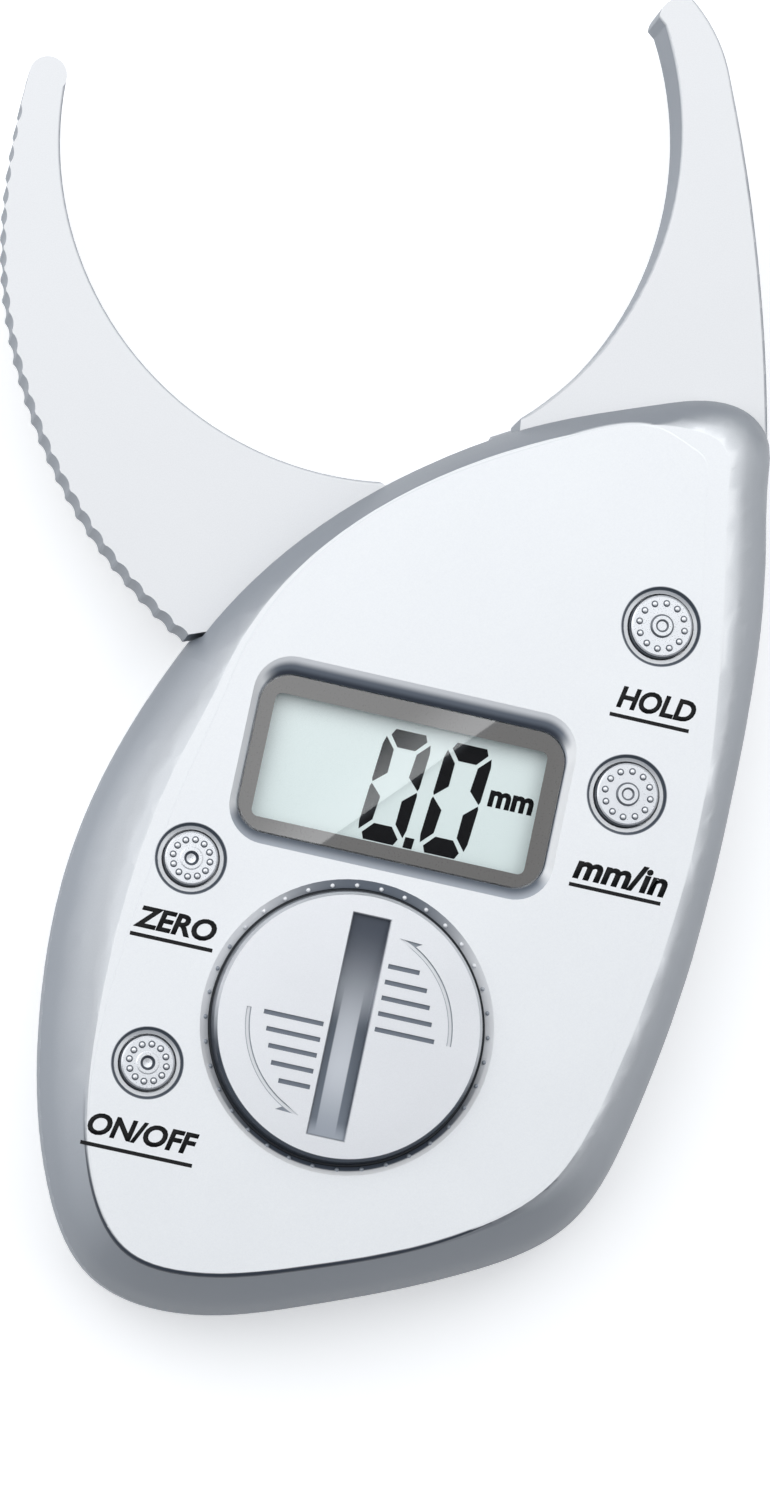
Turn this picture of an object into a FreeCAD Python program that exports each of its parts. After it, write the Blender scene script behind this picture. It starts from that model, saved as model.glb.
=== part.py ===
"""Digital skinfold caliper, lying on its back.

Millimetres. The origin is the jaw pivot's axis on the flat back face, +Y runs towards the jaws,
+X runs to the right along the display and +Z comes out of the display face.
"""
import FreeCAD, Part
import math
import os
import re
import Sketcher
from FreeCAD import Placement, Rotation, Vector

doc = FreeCAD.newDocument("SkinfoldCaliper")

# ---------------------------------------------------------------- driving dimensions

SIZES = [
    # covers
    ("part_line", 11.0, "height of the joint between the two covers"),
    ("face_top", 23.6, "height of the display face"),
    ("crease_deep", 1.0, "depth below the face at which the side band meets it, where the crease is full"),
    ("band_bow", 1.5, "power of the side band's rise: 1 for a straight bevel, more for a rounder one"),
    ("face_wall", 1.9, "wall under the face"),
    ("side_wall", 2.0, "wall at the sides"),
    ("back_wall", 2.0, "wall of the back"),
    ("face_step", 0.05, "ledge between band and raised face"),
    ("face_lift", 0.03, "height of the raised face over the end of the band"),
    ("face_round", 0.6, "rounding of the raised face's edge"),
    ("back_round", 5.0, "height of the rounding round the back"),
    ("lip_rise", 1.0, "height of the locating lip at the joint"),
    ("lip_wall", 0.9, "thickness of the locating lip"),
    ("lip_play", 0.1, "play round the locating lip"),
    # jaws and pivot
    ("jaw_low", 6.5, "underside of both jaws"),
    ("jaw_thick", 9.0, "thickness of both jaws"),
    ("jaw_round", 0.4, "rounding of the jaw edges"),
    ("grip_pitch", 2.75, "pitch of the grip notches on the thumb side"),
    ("grip_size", 2.2, "radius of a grip notch"),
    ("grip_depth", 0.35, "depth of a grip notch"),
    ("grip_start", 5.5, "distance of the first notch from the jaw's tip"),
    ("slot_play", 0.3, "play of the jaws in the slot through the covers"),
    ("hub_size", 12.0, "outer radius of the half-lapped hubs"),
    ("hub_play", 0.4, "radial play round the hubs"),
    ("lap_play", 0.2, "axial play between the hubs"),
    ("pin_size", 2.5, "radius of the pivot pin"),
    ("pin_end", 18.5, "top end of the pivot pin"),
    ("pin_start", 1.2, "bottom end of the pivot pin"),
    ("bush_wall", 1.0, "wall of the pivot bush"),
    ("running_play", 0.05, "radial play of a running fit"),
    ("washer_size", 5.0, "outer radius of the washers"),
    ("washer_thick", 0.3, "thickness of the washers"),
    ("back_boss", 4.2, "radius of the pivot boss of the back cover"),
    ("front_boss", 5.0, "radius of the pivot boss of the front cover"),
    ("jaw_post", 4.0, "radius of the posts that the fixed jaw stands on"),
    # return spring
    ("wire_size", 0.45, "radius of the spring wire"),
    ("coil_size", 5.4, "mean radius of the spring coils"),
    ("coil_pitch", 1.0, "pitch of the spring coils"),
    ("coil_turns", 2.75, "turns of the spring"),
    ("coil_low", 2.75, "height of the lowest coil's centre line"),
    ("stop_leg", 8.5, "length of the spring leg that lies on the stop"),
    ("leg_hole", 0.7, "radius of the hole for the spring's upper leg"),
    ("leg_reach", 9.3, "distance of that hole from the pivot"),
    # encoder
    ("tail_size", 17.5, "outer radius of the moving jaw's tail"),
    ("sector_in", 12.6, "inner radius of the encoder sector"),
    ("sector_out", 16.3, "outer radius of the encoder sector"),
    ("sector_thick", 0.8, "thickness of the encoder sector"),
    # circuit board and what stands on it
    ("board_low", 16.6, "underside of the circuit board"),
    ("board_thick", 1.0, "thickness of the circuit board"),
    ("switch_side", 6.0, "side of a switch housing"),
    ("switch_high", 2.0, "height of a switch housing"),
    ("tack_size", 1.5, "radius of a switch plunger"),
    # display
    ("lens_wide", 40.4, "width of the display lens"),
    ("lens_tall", 20.6, "height of the display lens"),
    ("lens_round", 4.0, "corner radius of the display lens"),
    ("lens_thick", 1.0, "thickness of the display lens"),
    ("lens_sink", 1.1, "depth of the lens below the face"),
    ("lens_play", 0.1, "play round the lens"),
    ("shelf", 1.6, "width of the ledge that the lens rests on"),
    ("shelf_thick", 0.9, "thickness of that ledge"),
    ("bevel_top", 2.2, "width of the bevel above the lens"),
    ("bevel_low", 1.5, "width of the bevel below the lens"),
    ("bevel_side", 1.0, "width of the bevels beside the lens"),
    ("glass_wide", 39.4, "width of the display glass"),
    ("glass_tall", 19.8, "height of the display glass"),
    ("glass_thick", 1.6, "thickness of the display glass"),
    ("holder_wall", 1.2, "wall of the display holder"),
    # buttons
    ("button_right", 4.2, "radius of the two right buttons"),
    ("button_left", 3.6, "radius of the two left buttons"),
    ("button_play", 0.15, "play round a button"),
    ("button_rise", 0.7, "height of the buttons over the face"),
    ("well_deep", 0.5, "depth of the ledge round a button"),
    ("well_ledge", 0.5, "width of that ledge"),
    ("well_slope", 0.3, "width of the slope from that ledge to the face"),
    ("flange_wide", 1.2, "overhang of a button's flange"),
    ("flange_thick", 0.8, "thickness of a button's flange"),
    ("flange_play", 0.1, "gap over a button's flange"),
    ("bump_size", 0.45, "radius of a grip bump on a button"),
    ("bump_high", 0.3, "height of a grip bump"),
    ("bump_edge", 1.2, "distance of the bumps from the button's side"),
    ("bump_count", 12, "number of bumps on a button"),
    # battery bay
    ("battery_size", 10.0, "radius of the battery"),
    ("battery_thick", 3.2, "thickness of the battery"),
    ("battery_low", 14.6, "underside of the battery"),
    ("bay_play", 0.4, "play round the battery"),
    ("bay_floor", 1.5, "floor of the battery bay"),
    ("bay_wall", 1.8, "wall of the battery bay"),
    ("contact_space", 1.1, "space for the contact under the battery"),
    ("cap_foot", 17.5, "radius of the cap at its foot"),
    ("cap_crown", 16.8, "radius of the cap's face"),
    ("cap_rise", 1.8, "height of the cap over the face"),
    ("cap_neck", 13.9, "radius of the cap's neck"),
    ("cap_play", 0.2, "play round the cap"),
    ("sink_deep", 0.9, "depth of the ring that the cap sits in"),
    ("sink_wide", 1.2, "width of that ring's slope"),
    ("lip_thick", 1.2, "thickness of the lip that holds the cap"),
    ("lug_reach", 1.6, "overhang of the cap's lugs"),
    ("lug_thick", 1.1, "thickness of the cap's lugs"),
    ("lug_span", 40.0, "angle that a lug covers, in degrees"),
    ("coin_wide", 4.75, "width of the coin slot"),
    ("coin_long", 28.6, "length of the coin slot"),
    ("coin_deep", 1.7, "depth of the coin slot in its middle"),
    ("coin_edge", 0.2, "chamfer round the coin slot"),
    ("mark_wide", 0.6, "width of the marks engraved in the cap"),
    ("mark_deep", 0.3, "depth of those marks"),
    ("mark_gap", 0.9, "distance of those lines from the coin slot"),
    ("arrow_at", 13.0, "radius of the engraved arrows"),
    ("leaf", 0.3, "thickness of the contact strips"),
    ("leaf_wide", 4.0, "width of the contact strips"),
    # screws
    ("screw_shank", 1.2, "shank radius of the case screws"),
    ("screw_head", 2.3, "head radius of the case screws"),
    ("head_high", 1.3, "height of those heads"),
    ("head_sink", 2.0, "depth of the screw wells in the back"),
    ("boss_wall", 1.2, "wall of the screw bosses"),
    ("case_thread", 7.0, "length of the case screws above the joint"),
    ("board_shank", 0.9, "shank radius of the board screws"),
    ("board_head", 1.8, "head radius of the board screws"),
]

sheet = doc.addObject("Spreadsheet::Sheet", "Sizes")
for row, (alias, number, note) in enumerate(SIZES, start=1):
    sheet.set(f"A{row}", note)
    sheet.set(f"B{row}", str(number))
    sheet.setAlias(f"B{row}", alias)
doc.recompute()

ALIASES = {alias for alias, number, note in SIZES}


class Values:
    """The sheet's numbers, for the outlines that are worked out point by point."""

    def __getattr__(self, alias):
        return float(sheet.get(alias))


size = Values()

# ---------------------------------------------------------------- places

# Outline of the case where the covers are widest, clockwise from the left end of the jaw slot:
# each point x, y, then the point on the raised face's edge that the band slopes up to, and how
# softly it gets there, from 0 for a bevel with a full crease to 1 for a quarter round without one.
CASE = [
    (-31.4, -15.0, -26.3, -17.2, 0.5), (-20.2, 2.9, -18.2, 0.4, 0.2), (-5.8, 16.6, -4.6, 13.8, 0.1),
    (9.0, 26.0, 10.2, 22.8, 0.1), (22.5, 31.6, 23.5, 27.3, 0.4), (30.6, 33.6, 28.0, 27.2, 0.9),
    (35.6, 32.7, 30.8, 26.3, 1.0), (38.4, 30.1, 32.2, 24.4, 1.0), (39.6, 24.6, 32.9, 20.8, 1.0),
    (41.3, 15.0, 34.2, 12.8, 1.0), (42.9, 2.5, 36.0, 1.6, 1.0), (43.35, -15.0, 37.9, -15.0, 1.0),
    (42.65, -40.0, 37.1, -39.6, 0.8), (39.2, -62.8, 33.3, -61.4, 0.6), (34.0, -76.3, 29.4, -72.2, 0.3),
    (23.0, -84.7, 20.8, -80.2, 0.1), (2.0, -93.9, 0.4, -89.5, 0.0), (-14.5, -98.1, -14.6, -93.4, 0.0),
    (-25.0, -95.8, -22.4, -92.4, 0.0), (-33.0, -85.3, -29.4, -83.4, 0.0), (-38.5, -65.5, -32.8, -64.8, 0.3),
    (-39.4, -44.0, -32.1, -44.4, 0.7), (-36.2, -27.8, -29.5, -29.4, 0.7),
]

CAP_AT = (-1.0, -58.2)
LENS_AT = (-0.6, -25.8)
BUTTONS = {
    "hold": (28.0, 1.1, "button_right"),
    "unit": (28.1, -21.2, "button_right"),
    "zero": (-25.1, -41.5, "button_left"),
    "power": (-25.0, -68.1, "button_left"),
}
CASE_SCREWS = [(-30.1, -54.1), (-26.6, -83.2), (1.8, -86.0), (27.6, -70.0), (34.6, -35.9)]
JAW_SCREWS = [(17.0, 16.0), (29.0, 15.0)]
BOARD_SCREWS = [(-25.0, -25.0), (14.5, 6.0), (27.5, -50.0)]
SPRING_STOP = (3.7, -8.6)

# Directions from the pivot, in degrees, between which the slot lets the moving jaw swing.
SWEEP = (83.5, 203.0)
# Corners of the fixed jaw's passage through the wall.
PASSAGE = [(4.8, 20.6), (4.8, 60.0), (60.0, 60.0), (60.0, 29.4), (38.5, 29.4), (36.3, 26.9), (36.3, 20.6)]

# Moving jaw: inner curve (centre and radius), the ends of that curve, and the thumb side.
BITE = (-18.1, 55.8, 43.8)
BITE_ENDS = (-61.9, 54.7), (-10.8, 12.6)
JAW_TIP = (-64.6, 57.4)
THUMB_SIDE = [
    (-66.8, 54.6), (-66.8, 44.0), (-64.2, 28.0), (-58.0, 13.8), (-47.7, 0.0), (-38.0, -8.3), (-31.2, -12.6),
]
HEEL = (-26.0, -10.5)
# Tail of the moving jaw that carries the encoder sector, in degrees round the pivot.
TAIL = (225.0, 283.0)
# Fixed jaw: tip, outer side as two arcs, inner side as one arc, then the root inside the covers.
FIXED_TIP = [(12.4, 81.3), (13.4, 84.0), (16.6, 84.7)]
FIXED_SHOULDER = [(16.6, 84.7), (20.4, 80.9), (23.4, 75.6)]
FIXED_BACK = [(23.4, 75.6), (31.5, 54.2), (38.0, 29.7)]
FIXED_ROOT = [(35.4, 26.8), (34.5, 9.0), (9.5, -6.5)]
FIXED_NECK = [(8.4, 9.4), (6.4, 17.0), (5.5, 25.0)]
FIXED_BITE = [(5.5, 25.0), (19.35, 57.5), (13.4, 80.5)]

# Heights and radii that several pieces of the battery bay and the display share.
BAY_LOW = "(battery_low - contact_space - bay_floor)"
BAY_FLOOR = "(battery_low - contact_space)"
CUP ="(battery_size + bay_play)"
STEP = "(battery_low + battery_thick + 0.6)"
CHANNEL = "(cap_neck + lug_reach + cap_play)"
NECK_HOLE = "(cap_neck + cap_play)"
SINK = "(face_top - sink_deep)"
LIP_LOW = "(face_top - sink_deep - lip_thick)"
LENS_LOW = "(face_top - lens_sink - lens_thick)"
BOARD_TOP = "(board_low + board_thick)"
# Directions in which the cap's lugs point, and how far the cap turns to free them, in degrees.
LUG_FACES = (0.0, 180.0)
UNLOCK = 50.0


# ---------------------------------------------------------------- small tools

def formula(text):
    """Writes a formula on the sheet's aliases the way the document reads it."""
    def named(word):
        return "Sizes." + word[0] if word[0] in ALIASES else word[0]
    return re.sub(r"[a-z][a-z_]*", named, str(text))


def bind(thing, target, text):
    thing.setExpression(target, formula(text))


def new_body(name):
    body = doc.addObject("PartDesign::Body", name)
    body.Label = name
    body.AllowCompound = True
    return body


def new_sketch(body, name, role="XY_Plane", shift=(0, 0, 0)):
    """A sketch on one of the body's own planes, moved by formulas along that plane's own axes."""
    plane = next(item for item in body.Origin.OriginFeatures if item.Role == role)
    sketch = body.newObject("Sketcher::SketchObject", f"{body.Name}_{name}")
    sketch.AttachmentSupport = [(plane, "")]
    sketch.MapMode = "FlatFace"
    for axis, text in zip("xyz", shift):
        bind(sketch, f"AttachmentOffset.Base.{axis}", text)
    return sketch


def fix(sketch, kind, *place, text):
    """Adds a dimension and ties it to a formula."""
    number = sketch.addConstraint(Sketcher.Constraint(kind, *place, 1.0))
    bind(sketch, f"Constraints[{number}]", text)


def add_circle(sketch, radius, x=0, y=0):
    ring = sketch.addGeometry(Part.Circle(Vector(float(x), float(y), 0), Vector(0, 0, 1), 1.0))
    fix(sketch, "Radius", ring, text=radius)
    if x == 0 and y == 0:
        sketch.addConstraint(Sketcher.Constraint("Coincident", ring, 3, -1, 1))
    else:
        fix(sketch, "DistanceX", -1, 1, ring, 3, text=x)
        fix(sketch, "DistanceY", -1, 1, ring, 3, text=y)


def add_polygon(sketch, points):
    """A closed run of straight lines whose corners are formulas; the solver starts from a regular polygon."""
    count = len(points)
    first = sketch.GeometryCount
    start = [at_angle(1.0, 360.0 * i / count) for i in range(count)]
    for i in range(count):
        sketch.addGeometry(Part.LineSegment(start[i], start[(i + 1) % count]))
    for i, (x, y) in enumerate(points):
        corner = first + i
        sketch.addConstraint(Sketcher.Constraint("Coincident", first + (i - 1) % count, 2, corner, 1))
        if str(x) == "0":
            sketch.addConstraint(Sketcher.Constraint("PointOnObject", corner, 1, -2))
        else:
            fix(sketch, "DistanceX", -1, 1, corner, 1, text=x)
        if str(y) == "0":
            sketch.addConstraint(Sketcher.Constraint("PointOnObject", corner, 1, -1))
        else:
            fix(sketch, "DistanceY", -1, 1, corner, 1, text=y)


def add_rectangle(sketch, wide, tall, x=0, y=0):
    """A rectangle round a centre."""
    left, right = f"{x} - ({wide}) / 2", f"{x} + ({wide}) / 2"
    low, high = f"{y} - ({tall}) / 2", f"{y} + ({tall}) / 2"
    add_polygon(sketch, [(right, high), (left, high), (left, low), (right, low)])


def add_outline(sketch, edges):
    """Edges whose places have been worked out already, pinned where they are."""
    for edge in edges:
        sketch.addConstraint(Sketcher.Constraint("Block", sketch.addGeometry(edge)))


def pad(body, name, sketch, length):
    feature = body.newObject("PartDesign::Pad", f"{body.Name}_{name}")
    feature.Profile = sketch
    bind(feature, "Length", length)
    return feature


def pocket(body, name, sketch, depth):
    """Cuts upwards from the sketch."""
    feature = body.newObject("PartDesign::Pocket", f"{body.Name}_{name}")
    feature.Profile = sketch
    feature.Reversed = True
    bind(feature, "Length", depth)
    return feature


def loft(body, name, sketches, cut=False):
    kind = "PartDesign::SubtractiveLoft" if cut else "PartDesign::AdditiveLoft"
    feature = body.newObject(kind, f"{body.Name}_{name}")
    feature.Profile = sketches[0]
    feature.Sections = sketches[1:]
    return feature


def turned(body, name, profile, at=(0, 0), cut=False):
    """Revolves a profile of (radius, height) formulas about a vertical axis."""
    sketch = new_sketch(body, name + "_profile", "XZ_Plane", (at[0], 0, f"-({at[1]})"))
    add_polygon(sketch, profile)
    kind = "PartDesign::Groove" if cut else "PartDesign::Revolution"
    feature = body.newObject(kind, f"{body.Name}_{name}")
    feature.Profile = sketch
    feature.ReferenceAxis = (sketch, ["V_Axis"])
    feature.Angle = 360
    return feature


def disc(body, name, radius, low, high, at=(0, 0), bore="0", cut=False):
    """A round boss, ring or bore between two heights."""
    return turned(body, name, [(bore, low), (radius, low), (radius, high), (bore, high)], at, cut)


def posts(body, name, places, radius, low, rise, cut=False):
    """Round posts or holes of one size at several places."""
    sketch = new_sketch(body, name, shift=(0, 0, low))
    for x, y in places:
        add_circle(sketch, radius, x, y)
    return pocket(body, name + "_cut", sketch, rise) if cut else pad(body, name + "_pad", sketch, rise)


def dress(body, kind, name, length, wanted):
    """Rounds or chamfers those edges of the body so far that the test picks."""
    doc.recompute()
    base = body.Tip
    names = [f"Edge{i}" for i, edge in enumerate(base.Shape.Edges, start=1) if wanted(edge)]
    feature = body.newObject(f"PartDesign::{kind}", f"{body.Name}_{name}")
    feature.Base = (base, names)
    bind(feature, "Radius" if kind == "Fillet" else "Size", length)
    return feature


def lies_at(edge, height):
    return abs(edge.BoundBox.ZMin - height) < 1e-4 and abs(edge.BoundBox.ZMax - height) < 1e-4


def at_angle(radius, degrees):
    return Vector(radius * math.cos(math.radians(degrees)), radius * math.sin(math.radians(degrees)), 0)


def flat(point):
    return Vector(point[0], point[1], 0)


def arc(points):
    return Part.Arc(*[flat(point) for point in points])


def line(start, end):
    return Part.LineSegment(flat(start), flat(end))


def sector(inner, outer, first, last):
    """Edges of a ring sector between two directions in degrees."""
    middle = (first + last) / 2
    return [
        Part.Arc(at_angle(outer, first), at_angle(outer, middle), at_angle(outer, last)),
        Part.LineSegment(at_angle(outer, last), at_angle(inner, last)),
        Part.Arc(at_angle(inner, last), at_angle(inner, middle), at_angle(inner, first)),
        Part.LineSegment(at_angle(inner, first), at_angle(outer, first)),
    ]


def rounded(wide, tall, radius, x=0.0, y=0.0):
    """Edges of a rectangle with round corners about a centre."""
    edges = []
    turn = math.sqrt(0.5)
    for sx, sy, ahead in ((1, 1, "y"), (-1, 1, "x"), (-1, -1, "y"), (1, -1, "x")):
        middle = Vector(x + sx * (wide / 2 - radius), y + sy * (tall / 2 - radius), 0)
        across, upward = Vector(sx * radius, 0, 0), Vector(0, sy * radius, 0)
        first, last = (across, upward) if ahead == "y" else (upward, across)
        edges.append((middle + first, middle + (across + upward) * turn, middle + last))
    loop = []
    for i, (start, bend, end) in enumerate(edges):
        loop.append(Part.Arc(start, bend, end))
        loop.append(Part.LineSegment(end, edges[(i + 1) % 4][0]))
    return loop


# ---------------------------------------------------------------- the case outline

def band_share(height, soft):
    """Share of the band's width that the front cover has lost at a height: a bevel that passes under
    the raised face's edge, or most of a quarter ellipse where the band is soft."""
    rise = max(height - size.part_line, 0.0)
    full = size.face_top - size.face_lift - size.part_line
    bevel = (rise / (full - size.crease_deep)) ** size.band_bow
    reach = 0.999
    part = reach * min(rise / full, 1.0)
    ellipse = (1 - math.sqrt(1 - part ** 2)) / (1 - math.sqrt(1 - reach ** 2))
    return bevel * (1 - soft) + ellipse * soft


def back_inset(height):
    """How far the rounding round the back pulls the outline in at a height."""
    left = max(1 - height / size.back_round, 0.0)
    return 0.8 * size.back_round * (1 - math.sqrt(1 - left ** 2))


def widest(soft):
    return 0.0


def under_face(soft):
    """Outline of the raised face, drawn in where the band is soft so that it has no edge there."""
    return 1.0 + 0.3 * soft


def band_at(height):
    return lambda soft: band_share(height, soft)


def case_curve(share, inset=0.0):
    """The case outline, pulled in by a share of the band's width and by a plain inset."""
    points = []
    for x, y, inner_x, inner_y, soft in CASE:
        across = Vector(inner_x - x, inner_y - y, 0)
        points.append(Vector(x, y, 0) + across * (share(soft) + inset / across.Length))
    curve = Part.BSplineCurve()
    curve.interpolate(points, PeriodicFlag=True)
    return curve


def case_section(body, name, height, share, inset=0.0):
    sketch = new_sketch(body, name, shift=(0, 0, height))
    add_outline(sketch, [case_curve(share, inset)])
    return sketch


def jaw_slot(body):
    """The opening through both covers' walls: the moving jaw's sweep, and the fixed jaw's passage."""
    inside, outside = size.hub_size + 2, 60.0
    middle = sum(SWEEP) / 2
    sweep = [at_angle(inside, SWEEP[0]), at_angle(outside, SWEEP[0]), at_angle(outside, middle),
             at_angle(outside, SWEEP[1]), at_angle(inside, SWEEP[1])]
    for name, corners in (("sweep", sweep), ("passage", [flat(corner) for corner in PASSAGE])):
        sketch = new_sketch(body, name, shift=(0, 0, "jaw_low - slot_play"))
        add_outline(sketch, [Part.LineSegment(corners[i - 1], corner) for i, corner in enumerate(corners)])
        pocket(body, name + "_slot", sketch, "jaw_thick + 2 * slot_play")


# ---------------------------------------------------------------- covers

def rear_cover():
    body = new_body("rear_cover")
    rounding = ["0", "back_round * 0.12", "back_round * 0.4", "back_round", "part_line"]
    levels = [0.0, size.back_round * 0.12, size.back_round * 0.4, size.back_round, size.part_line]
    loft(body, "outside", [
        case_section(body, f"outside_{i}", height, widest, back_inset(level))
        for i, (height, level) in enumerate(zip(rounding, levels))
    ])
    rises = ["back_wall", "back_wall + 0.6", "back_wall + 2", "part_line"]
    levels = [size.back_wall, size.back_wall + 0.6, size.back_wall + 2, size.part_line]
    loft(body, "inside", [
        case_section(body, f"inside_{i}", height, widest, size.side_wall + 2.2 * back_inset(level))
        for i, (height, level) in enumerate(zip(rises, levels))
    ], cut=True)
    lip = new_sketch(body, "lip", shift=(0, 0, "part_line - lip_rise"))
    inset = size.side_wall - 0.15
    add_outline(lip, [case_curve(widest, inset - size.lip_wall), case_curve(widest, inset)])
    pad(body, "lip_rib", lip, "2 * lip_rise")
    inner = "back_wall / 2"
    posts(body, "screw_boss", CASE_SCREWS, "screw_head + boss_wall", inner, f"part_line - {inner}")
    posts(body, "jaw_post", JAW_SCREWS, "jaw_post", inner, f"jaw_low - {inner}")
    stop = new_sketch(body, "stop", shift=(*SPRING_STOP, inner))
    add_rectangle(stop, "2.4", "3.0")
    pad(body, "spring_stop", stop, f"coil_low + 2 * wire_size - {inner}")
    jaw_slot(body)
    disc(body, "pivot_boss", "back_boss", inner, "jaw_low - lap_play - washer_thick")
    disc(body, "pin_socket", "pin_size", "pin_start", "part_line", cut=True)
    posts(body, "screw_well", CASE_SCREWS + JAW_SCREWS, "screw_head + 0.2", "-1", "head_sink + 1", cut=True)
    posts(body, "screw_hole", CASE_SCREWS + JAW_SCREWS, "screw_shank + 0.1", "0", "part_line + 1", cut=True)
    return body


def front_cover():
    body = new_body("front_cover")
    raised = case_section(body, "raised", "part_line + 7", under_face, size.face_step)
    pad(body, "raised_face", raised, "face_top - part_line - 7")
    dress(body, "Fillet", "face_edge", "face_round", lambda edge: lies_at(edge, size.face_top))
    span = size.face_top - size.face_lift - size.part_line
    loft(body, "outside", [
        case_section(body, f"outside_{i}", f"part_line + (face_top - face_lift - part_line) * {step}",
                     band_at(size.part_line + span * step))
        for i, step in enumerate((0.0, 0.35, 0.65, 0.85, 0.94, 0.98, 1.0))
    ])
    span = size.face_top - size.face_wall - size.part_line
    loft(body, "inside", [
        case_section(body, f"inside_{i}", f"part_line + (face_top - face_wall - part_line) * {step}",
                     band_at(size.part_line + span * step + 0.6 * size.face_wall) if i else widest,
                     size.side_wall * (1 - step / 2))
        for i, step in enumerate((0.0, 0.4, 0.75, 1.0))
    ], cut=True)
    inset = size.side_wall - 0.15 - size.lip_wall - size.lip_play
    groove = case_section(body, "groove", "part_line", widest, inset)
    pocket(body, "lip_groove", groove, "lip_rise + lip_play")
    jaw_slot(body)

    # Everything that hangs from the face reaches a little way into its wall.
    ceiling = "face_top - face_wall + 0.3"
    boss = "screw_shank + boss_wall"
    disc(body, "pivot_boss", "front_boss", "jaw_low + jaw_thick + washer_thick", ceiling)
    posts(body, "screw_boss", CASE_SCREWS, boss, "part_line", f"{ceiling} - part_line")
    posts(body, "jaw_post", JAW_SCREWS, "jaw_post", "jaw_low + jaw_thick", f"{ceiling} - jaw_low - jaw_thick")
    posts(body, "board_post", BOARD_SCREWS, "board_shank + boss_wall", BOARD_TOP, f"{ceiling} - {BOARD_TOP}")
    cup, channel = f"{CUP} + bay_wall", f"{CHANNEL} + bay_wall"
    bay_step = f"{STEP} - lip_thick"
    turned(body, "bay", [
        ("0", BAY_LOW), (cup, BAY_LOW), (cup, bay_step), (channel, bay_step), (channel, ceiling),
        ("0", ceiling),
    ], CAP_AT)
    shelf = new_sketch(body, "shelf", shift=(*LENS_AT, f"{LENS_LOW} - shelf_thick"))
    add_rectangle(shelf, "glass_wide + 2 * holder_wall", "glass_tall + 2 * holder_wall")
    pad(body, "lens_shelf", shelf, f"{ceiling} - ({LENS_LOW} - shelf_thick)")

    disc(body, "pin_bore", "pin_size", "jaw_low + jaw_thick", "pin_end", cut=True)
    posts(body, "screw_hole", CASE_SCREWS, "screw_shank", "part_line", "case_thread", cut=True)
    posts(body, "board_hole", BOARD_SCREWS, "board_shank", BOARD_TOP, "3", cut=True)
    ring = "cap_foot + cap_play"
    turned(body, "bay_space", [
        ("0", BAY_FLOOR), (CUP, BAY_FLOOR), (CUP, STEP), (CHANNEL, STEP), (CHANNEL, LIP_LOW),
        (NECK_HOLE, LIP_LOW), (NECK_HOLE, SINK), (ring, SINK), (f"{ring} + sink_wide", "face_top"),
        (f"{ring} + sink_wide", "face_top + 1"), ("0", "face_top + 1"),
    ], CAP_AT, cut=True)
    for turn in (LUG_FACES[0] + UNLOCK, LUG_FACES[1] + UNLOCK):
        entry = new_sketch(body, f"lug_entry_{turn:.0f}", shift=(*CAP_AT, LIP_LOW))
        add_outline(entry, sector(size.cap_neck - 1, size.cap_neck + size.cap_play + size.lug_reach,
                                  turn - size.lug_span / 2 - 2, turn + size.lug_span / 2 + 2))
        pocket(body, f"lug_entry_{turn:.0f}_cut", entry, "lip_thick")
    for name, side in (("plus", 1), ("minus", -1)):
        strip = new_sketch(body, f"{name}_way", shift=(*CAP_AT, BAY_FLOOR))
        add_rectangle(strip, cup, "leaf_wide + 0.4", f"{side} * (({cup}) / 2 + 3)")
        pocket(body, f"{name}_way_cut", strip, "battery_thick + 0.8")
    lens = new_sketch(body, "lens", shift=(*LENS_AT, LENS_LOW))
    wide, tall = size.lens_wide + 2 * size.lens_play, size.lens_tall + 2 * size.lens_play
    add_outline(lens, rounded(wide, tall, size.lens_round))
    pocket(body, "lens_seat", lens, "lens_thick")
    rim = new_sketch(body, "rim", shift=(*LENS_AT, LENS_LOW + " + lens_thick"))
    add_outline(rim, rounded(wide, tall, size.lens_round))
    mouth = new_sketch(body, "mouth", shift=(*LENS_AT, "face_top"))
    add_outline(mouth, rounded(wide + 2 * size.bevel_side, tall + size.bevel_top + size.bevel_low,
                               size.lens_round + size.bevel_side, y=(size.bevel_top - size.bevel_low) / 2))
    loft(body, "lens_bevel", [rim, mouth], cut=True)
    window = new_sketch(body, "window", shift=(*LENS_AT, f"{LENS_LOW} - shelf_thick"))
    add_rectangle(window, "lens_wide - 2 * shelf", "lens_tall - 2 * shelf")
    pocket(body, "window_cut", window, "shelf_thick + 0.2")
    for name, (x, y, radius) in BUTTONS.items():
        ledge = f"{radius} + button_play + well_ledge"
        turned(body, f"{name}_well", [
            ("0", "part_line"), (f"{radius} + button_play", "part_line"),
            (f"{radius} + button_play", "face_top - well_deep"), (ledge, "face_top - well_deep"),
            (f"{ledge} + well_slope", "face_top"), ("0", "face_top"),
        ], (x, y), cut=True)
    return body


# ---------------------------------------------------------------- jaws and pivot

# Direction of the hole for the spring's upper leg: the leg leaves the last coil along its tangent.
LEG_TURN = 360.0 * (size.coil_turns % 1) + math.degrees(math.acos(size.coil_size / size.leg_reach))


def round_arm(body, outside):
    """Rounds a jaw's lower and upper edges where they lie outside the covers."""
    for name, height in (("lower", size.jaw_low), ("upper", size.jaw_low + size.jaw_thick)):
        dress(body, "Fillet", f"{name}_edges", "jaw_round",
              lambda edge: lies_at(edge, height) and outside(edge.BoundBox.Center))


def thumb_side():
    curve = Part.BSplineCurve()
    curve.interpolate([flat(point) for point in THUMB_SIDE])
    return curve


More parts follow.
